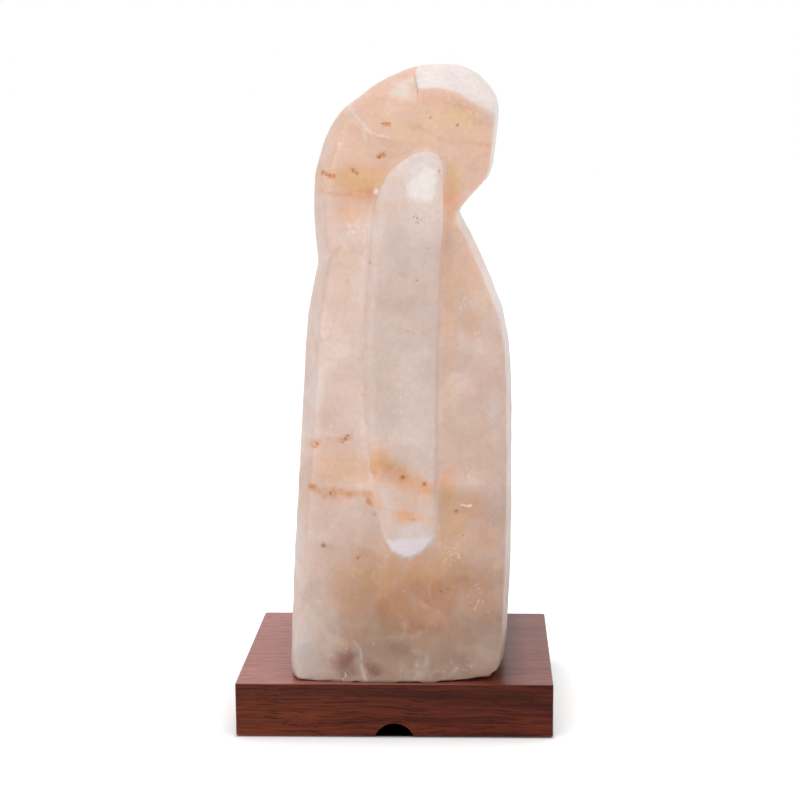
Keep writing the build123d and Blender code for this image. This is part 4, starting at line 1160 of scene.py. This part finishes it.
def coil_tree(material):
    """Wire wound round a curve."""
    tree, given = new_tree("wound_wire", coil_sizes)
    steps = add(tree, "Math", [given["Turns"], points_in_turn], operation="MULTIPLY")
    fine = add(tree, "GeometryNodeResampleCurve", {"Curve": given["Geometry"], "Count": steps})
    along = add(tree, "GeometryNodeSplineParameter")
    angle = add(tree, "Math", [along, given["Turns"]], operation="MULTIPLY")
    angle = add(tree, "Math", [angle, 2 * math.pi], operation="MULTIPLY")
    swung = add(tree, "VectorRotate", {
        "Vector": add(tree, "GeometryNodeInputNormal"), "Axis": add(tree, "GeometryNodeInputTangent"),
        "Angle": angle,
    })
    offset = add(tree, "VectorMath", {0: swung, "Scale": given["Coil Radius"]}, operation="SCALE")
    moved = add(tree, "GeometryNodeSetPosition", {"Geometry": fine, "Offset": offset})
    profile = add(tree, "GeometryNodeCurvePrimitiveCircle", {"Resolution": 6, "Radius": given["Wire Radius"]})
    wire = add(tree, "GeometryNodeCurveToMesh", {"Curve": moved, "Profile Curve": profile, "Fill Caps": True})
    return finish_tree(tree, wire, material)


def curve_along(name, spots):
    """An open curve along some points, in metres."""
    data = bpy.data.curves.new(name, "CURVE")
    data.dimensions = "3D"
    spline = data.splines.new("POLY")
    spline.points.add(len(spots) - 1)
    for point, spot in zip(spline.points, spots):
        point.co = (*spot, 1)
    return bpy.data.objects.new(name, data)


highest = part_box("filament")[1]
outer_radius = 0.35 * mm
arch_radius = highest.x - outer_radius
arch_middle = highest.z - outer_radius - arch_radius
angles = np.linspace(0, math.pi, 33)
arch = [(arch_radius * math.cos(a), 0, arch_middle + arch_radius * math.sin(a)) for a in angles]
filament = grown("filament_coil", coil_tree(tungsten), coil_sizes, curve_along("arch", arch))
place_on(filament, "bulb", "tungsten", "filament")

# %% [markdown]
# ### Screw threads
# The four screws keep their CAD heads, and a thread is wound round each shank. A copy for each screw
# would do, but here one thread is made once and set on the four places, which come in as the points of a
# small mesh.

# %% Screw threads
corners = [(-1, -1), (1, -1), (1, 1), (-1, 1)]


def points_mesh(name, across, along, level):
    """A mesh of four loose points, one near each corner of the plinth, to set instances on."""
    mesh = bpy.data.meshes.new(name)
    mesh.from_pydata([(x * across, y * along, level) for x, y in corners], [], [])
    return bpy.data.objects.new(name, mesh)


screw_sizes = {"Turns": 17.0, "Shank Radius": 1.85 * mm, "Crest": 0.42 * mm, "Length": 30 * mm}


def screw_thread_tree(material):
    """A ridge wound round a shank, on each point."""
    tree, given = new_tree("wood_screw_thread", screw_sizes)
    spiral = add(tree, "GeometryNodeCurveSpiral", {
        "Resolution": 20, "Rotations": given["Turns"], "Start Radius": given["Shank Radius"],
        "End Radius": given["Shank Radius"], "Height": given["Length"],
    })
    ridge = add(tree, "GeometryNodeCurvePrimitiveCircle", {"Resolution": 3, "Radius": given["Crest"]})
    thread = add(tree, "GeometryNodeCurveToMesh", {
        "Curve": spiral, "Profile Curve": ridge, "Fill Caps": True,
    })
    set_on = add(tree, "GeometryNodeInstanceOnPoints", {"Points": given["Geometry"], "Instance": thread})
    return finish_tree(tree, set_on, material)


screw_x, screw_y, thread_depth = 36 * mm, 33 * mm, 10 * mm
threads = grown("plinth_screw_threads", screw_thread_tree(zinc), screw_sizes,
                points_mesh("screw_places", screw_x, screw_y, seat - thread_depth))
place_on(threads, "lamp", "zinc_plated_steel")

# %% [markdown]
# ### Felt pads
# The pads are discs of pressed wool felt, glued into shallow sockets. A bevelled disc would look like
# rubber, so their faces close in softly at the rim, and noise frays the rim by less than a tenth of a
# millimetre.

# %% Felt pads
pad_low, pad_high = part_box("felt_pads")
pad_radius = 6.5 * mm
pad_sizes = {"Radius": pad_radius, "Thickness": pad_high.z - pad_low.z, "Rim": 0.45 * mm, "Fuzz": 0.08 * mm}


def felt_pad_tree(material):
    """A soft disc on each point."""
    tree, given = new_tree("felt_pad", pad_sizes)
    body = add(tree, "GeometryNodeMeshCylinder", {
        "Vertices": 72, "Side Segments": 6, "Fill Segments": 12, "Radius": given["Radius"],
        "Depth": given["Thickness"],
    })
    place = add(tree, "GeometryNodeInputPosition")
    at = add(tree, "SeparateXYZ", [place]).outputs
    flat = add(tree, "VectorMath", [place, (1, 1, 0)], operation="MULTIPLY")
    out = add(tree, "VectorMath", [flat], operation="LENGTH")
    # near the rim the faces close in, as the edge of pressed felt does
    from_rim = add(tree, "Math", [given["Radius"], out], operation="SUBTRACT")
    thin = add(tree, "MapRange", {"Value": from_rim, "From Max": given["Rim"], "To Min": 0.55},
               interpolation_type="SMOOTHSTEP")
    z = add(tree, "Math", [at["Z"], thin], operation="MULTIPLY")
    half = add(tree, "Math", [given["Thickness"], 0.5], operation="MULTIPLY")
    z = add(tree, "Math", [z, half], operation="ADD")
    fuzz = add(tree, "TexNoise", {"Vector": place, "Scale": 1 / (1.2 * mm), "Detail": 2.0})
    fuzz = add(tree, "Math", [fuzz, given["Fuzz"]], operation="MULTIPLY")
    shrink = add(tree, "Math", [out, fuzz], operation="SUBTRACT")
    shrink = add(tree, "Math", [shrink, out], operation="DIVIDE")
    shrink = add(tree, "Math", [shrink, 0.9], operation="MAXIMUM")
    x, y = [add(tree, "Math", [at[axis], shrink], operation="MULTIPLY") for axis in ("X", "Y")]
    spot = add(tree, "CombineXYZ", {"X": x, "Y": y, "Z": z})
    soft = add(tree, "GeometryNodeSetPosition", {"Geometry": body, "Position": spot})
    even = add(tree, "GeometryNodeSetShadeSmooth", {"Geometry": soft})
    set_on = add(tree, "GeometryNodeInstanceOnPoints", {"Points": given["Geometry"], "Instance": even})
    return finish_tree(tree, set_on, material)


pads = grown("pressed_felt_pads", felt_pad_tree(felt), pad_sizes,
             points_mesh("pad_places", pad_high.x - pad_radius, pad_high.y - pad_radius, pad_low.z))
place_on(pads, "lamp", "felt", "felt_pads")

# %% [markdown]
# ## The studio
# The lamp was photographed on a white sweep of paper in a bright room, and the paper came out pure white
# up to a soft grey rim beside the board. Paper lit by lamps alone would need lamps so strong that they
# bleach the salt. Here it also glows a little, to the camera alone, and the glow stops short of the
# board.

# %% White paper
def white_sweep():
    """White paper. To the camera it also glows, but not close to the board, where its shadow stays."""
    material, tree = new_material("white_paper_sweep")
    place = add(tree, "TexCoord").outputs["Object"]
    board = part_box("wood_plinth")[1]
    apart = add(tree, "VectorMath", [place], operation="ABSOLUTE")
    apart = add(tree, "VectorMath", [apart, (board.x, board.y, 0)], operation="SUBTRACT")
    apart = add(tree, "SeparateXYZ", [apart]).outputs
    apart = add(tree, "Math", [apart["X"], apart["Y"]], operation="MAXIMUM")
    clear = add(tree, "MapRange", {"Value": apart, "From Min": -2 * mm, "From Max": 1 * mm})
    far = add(tree, "MapRange", {"Value": apart, "From Max": 35 * mm, "To Min": 0.12, "To Max": 0.45})
    glowing = add(tree, "Math", [clear, far], operation="MULTIPLY")
    seen = add(tree, "LightPath").outputs["Is Camera Ray"]
    glowing = add(tree, "Math", [seen, glowing], operation="MULTIPLY")
    glow = add(tree, "Emission", {"Color": "#ffffff", "Strength": glowing})
    # under the board the paper is painted near black, a painted shadow that keeps the cable groove dark
    white = add(tree, "Mix", {0: clear, 6: "#060606", 7: "#ffffff"}, data_type="RGBA")
    paper = add(tree, "BsdfDiffuse", {"Color": white})
    both = add(tree, "AddShader", [paper, glow])
    # seen from below the paper isn't there, so a view from there shows the lamp's underside
    below = add(tree, "NewGeometry").outputs["Backfacing"]
    # light comes up through it under the board, except beside the cable groove, which stays dark
    groove_side, groove_end = 14 * mm, -22 * mm
    spot = add(tree, "SeparateXYZ", [place]).outputs
    aside = add(tree, "Math", [spot["X"]], operation="ABSOLUTE")
    aside = add(tree, "Math", [aside, groove_side], operation="GREATER_THAN")
    behind = add(tree, "Math", [spot["Y"], groove_end], operation="GREATER_THAN")
    lit = add(tree, "Math", [aside, behind], operation="MAXIMUM")
    for taken in (clear, seen):
        left = add(tree, "Math", [1.0, taken], operation="SUBTRACT")
        lit = add(tree, "Math", [lit, left], operation="MULTIPLY")
    unseen = add(tree, "Math", [below, lit], operation="MAXIMUM")
    nothing = add(tree, "BsdfTransparent")
    add(tree, "OutputMaterial", {"Surface": add(tree, "MixShader", [unseen, both, nothing])})
    return material


half_floor = 6.0
floor_level = -0.1 * mm
floor_mesh = bpy.data.meshes.new("studio_floor")
floor_corners = [(x * half_floor, y * half_floor, floor_level) for x, y in corners]
floor_mesh.from_pydata(floor_corners, [], [(0, 1, 2, 3)])
floor_mesh.materials.append(white_sweep())
floor = bpy.data.objects.new("studio_floor", floor_mesh)
bpy.context.scene.collection.objects.link(floor)
print("Paper", 2 * half_floor, "m square")

# %% [markdown]
# ### The room and the soft boxes
# An even white room gives most of the light, so the salt has hardly a shadow. Three large soft boxes
# shape it: the left and the top ones draw the arm and the head out, and the right one, behind the lamp,
# lights its bevel. A picture of a real studio could light it too, but numbers can be turned one by one.

# %% World
world = bpy.data.worlds.new("white_studio")
bpy.context.scene.world = world
world.use_nodes = True
sky = world.node_tree
sky.nodes.clear()
path = add(sky, "LightPath").outputs
shown = add(sky, "Math", [path["Is Camera Ray"], path["Is Glossy Ray"]], operation="MAXIMUM")
shown = add(sky, "Math", [shown, path["Is Transmission Ray"]], operation="MAXIMUM")
# to gloss, the studio is white behind the lamp and dim on the camera's side; to the camera it is plain white
way = add(sky, "SeparateXYZ", [add(sky, "TexCoord").outputs["Generated"]]).outputs["Y"]
mirrored = add(sky, "MapRange", {"Value": way, "From Min": -0.6, "From Max": 0.4, "To Min": 0.30})
mirrored = add(sky, "Math", [mirrored, path["Is Camera Ray"]], operation="MAXIMUM")
mirrored = add(sky, "Math", [mirrored, path["Is Transmission Ray"]], operation="MAXIMUM")
ambient = 0.83
strength = add(sky, "Mix", {0: shown, 2: ambient, 3: mirrored})
light = add(sky, "Background", {"Color": "#ffffff", "Strength": strength})
add(sky, "OutputWorld", {"Surface": light})
print("Room light", ambient)

# %% Soft boxes
# (name, place, watts, size): large soft boxes around the lamp, aimed at its middle
soft_boxes = [
    ("left_box", (-0.80, -0.75, 0.50), 2.2, 0.8),
    ("right_box", (1.0, 0.35, 0.40), 0.6, 0.8),
    ("top_box", (0.1, -0.1, 1.25), 3.0, 0.9),
]
aim_height = 0.15
for name, place, watts, size in soft_boxes:
    lamp = bpy.data.lights.new(name, "AREA")
    lamp.energy = watts
    lamp.size = size
    stand = bpy.data.objects.new(name, lamp)
    stand.location = place
    stand.rotation_euler = (Vector((0, 0, aim_height)) - stand.location).to_track_quat("-Z", "Y").to_euler()
    bpy.context.scene.collection.objects.link(stand)
print("Soft boxes", len(soft_boxes), "of", round(sum(watts for _, _, watts, _ in soft_boxes), 1), "W in all")
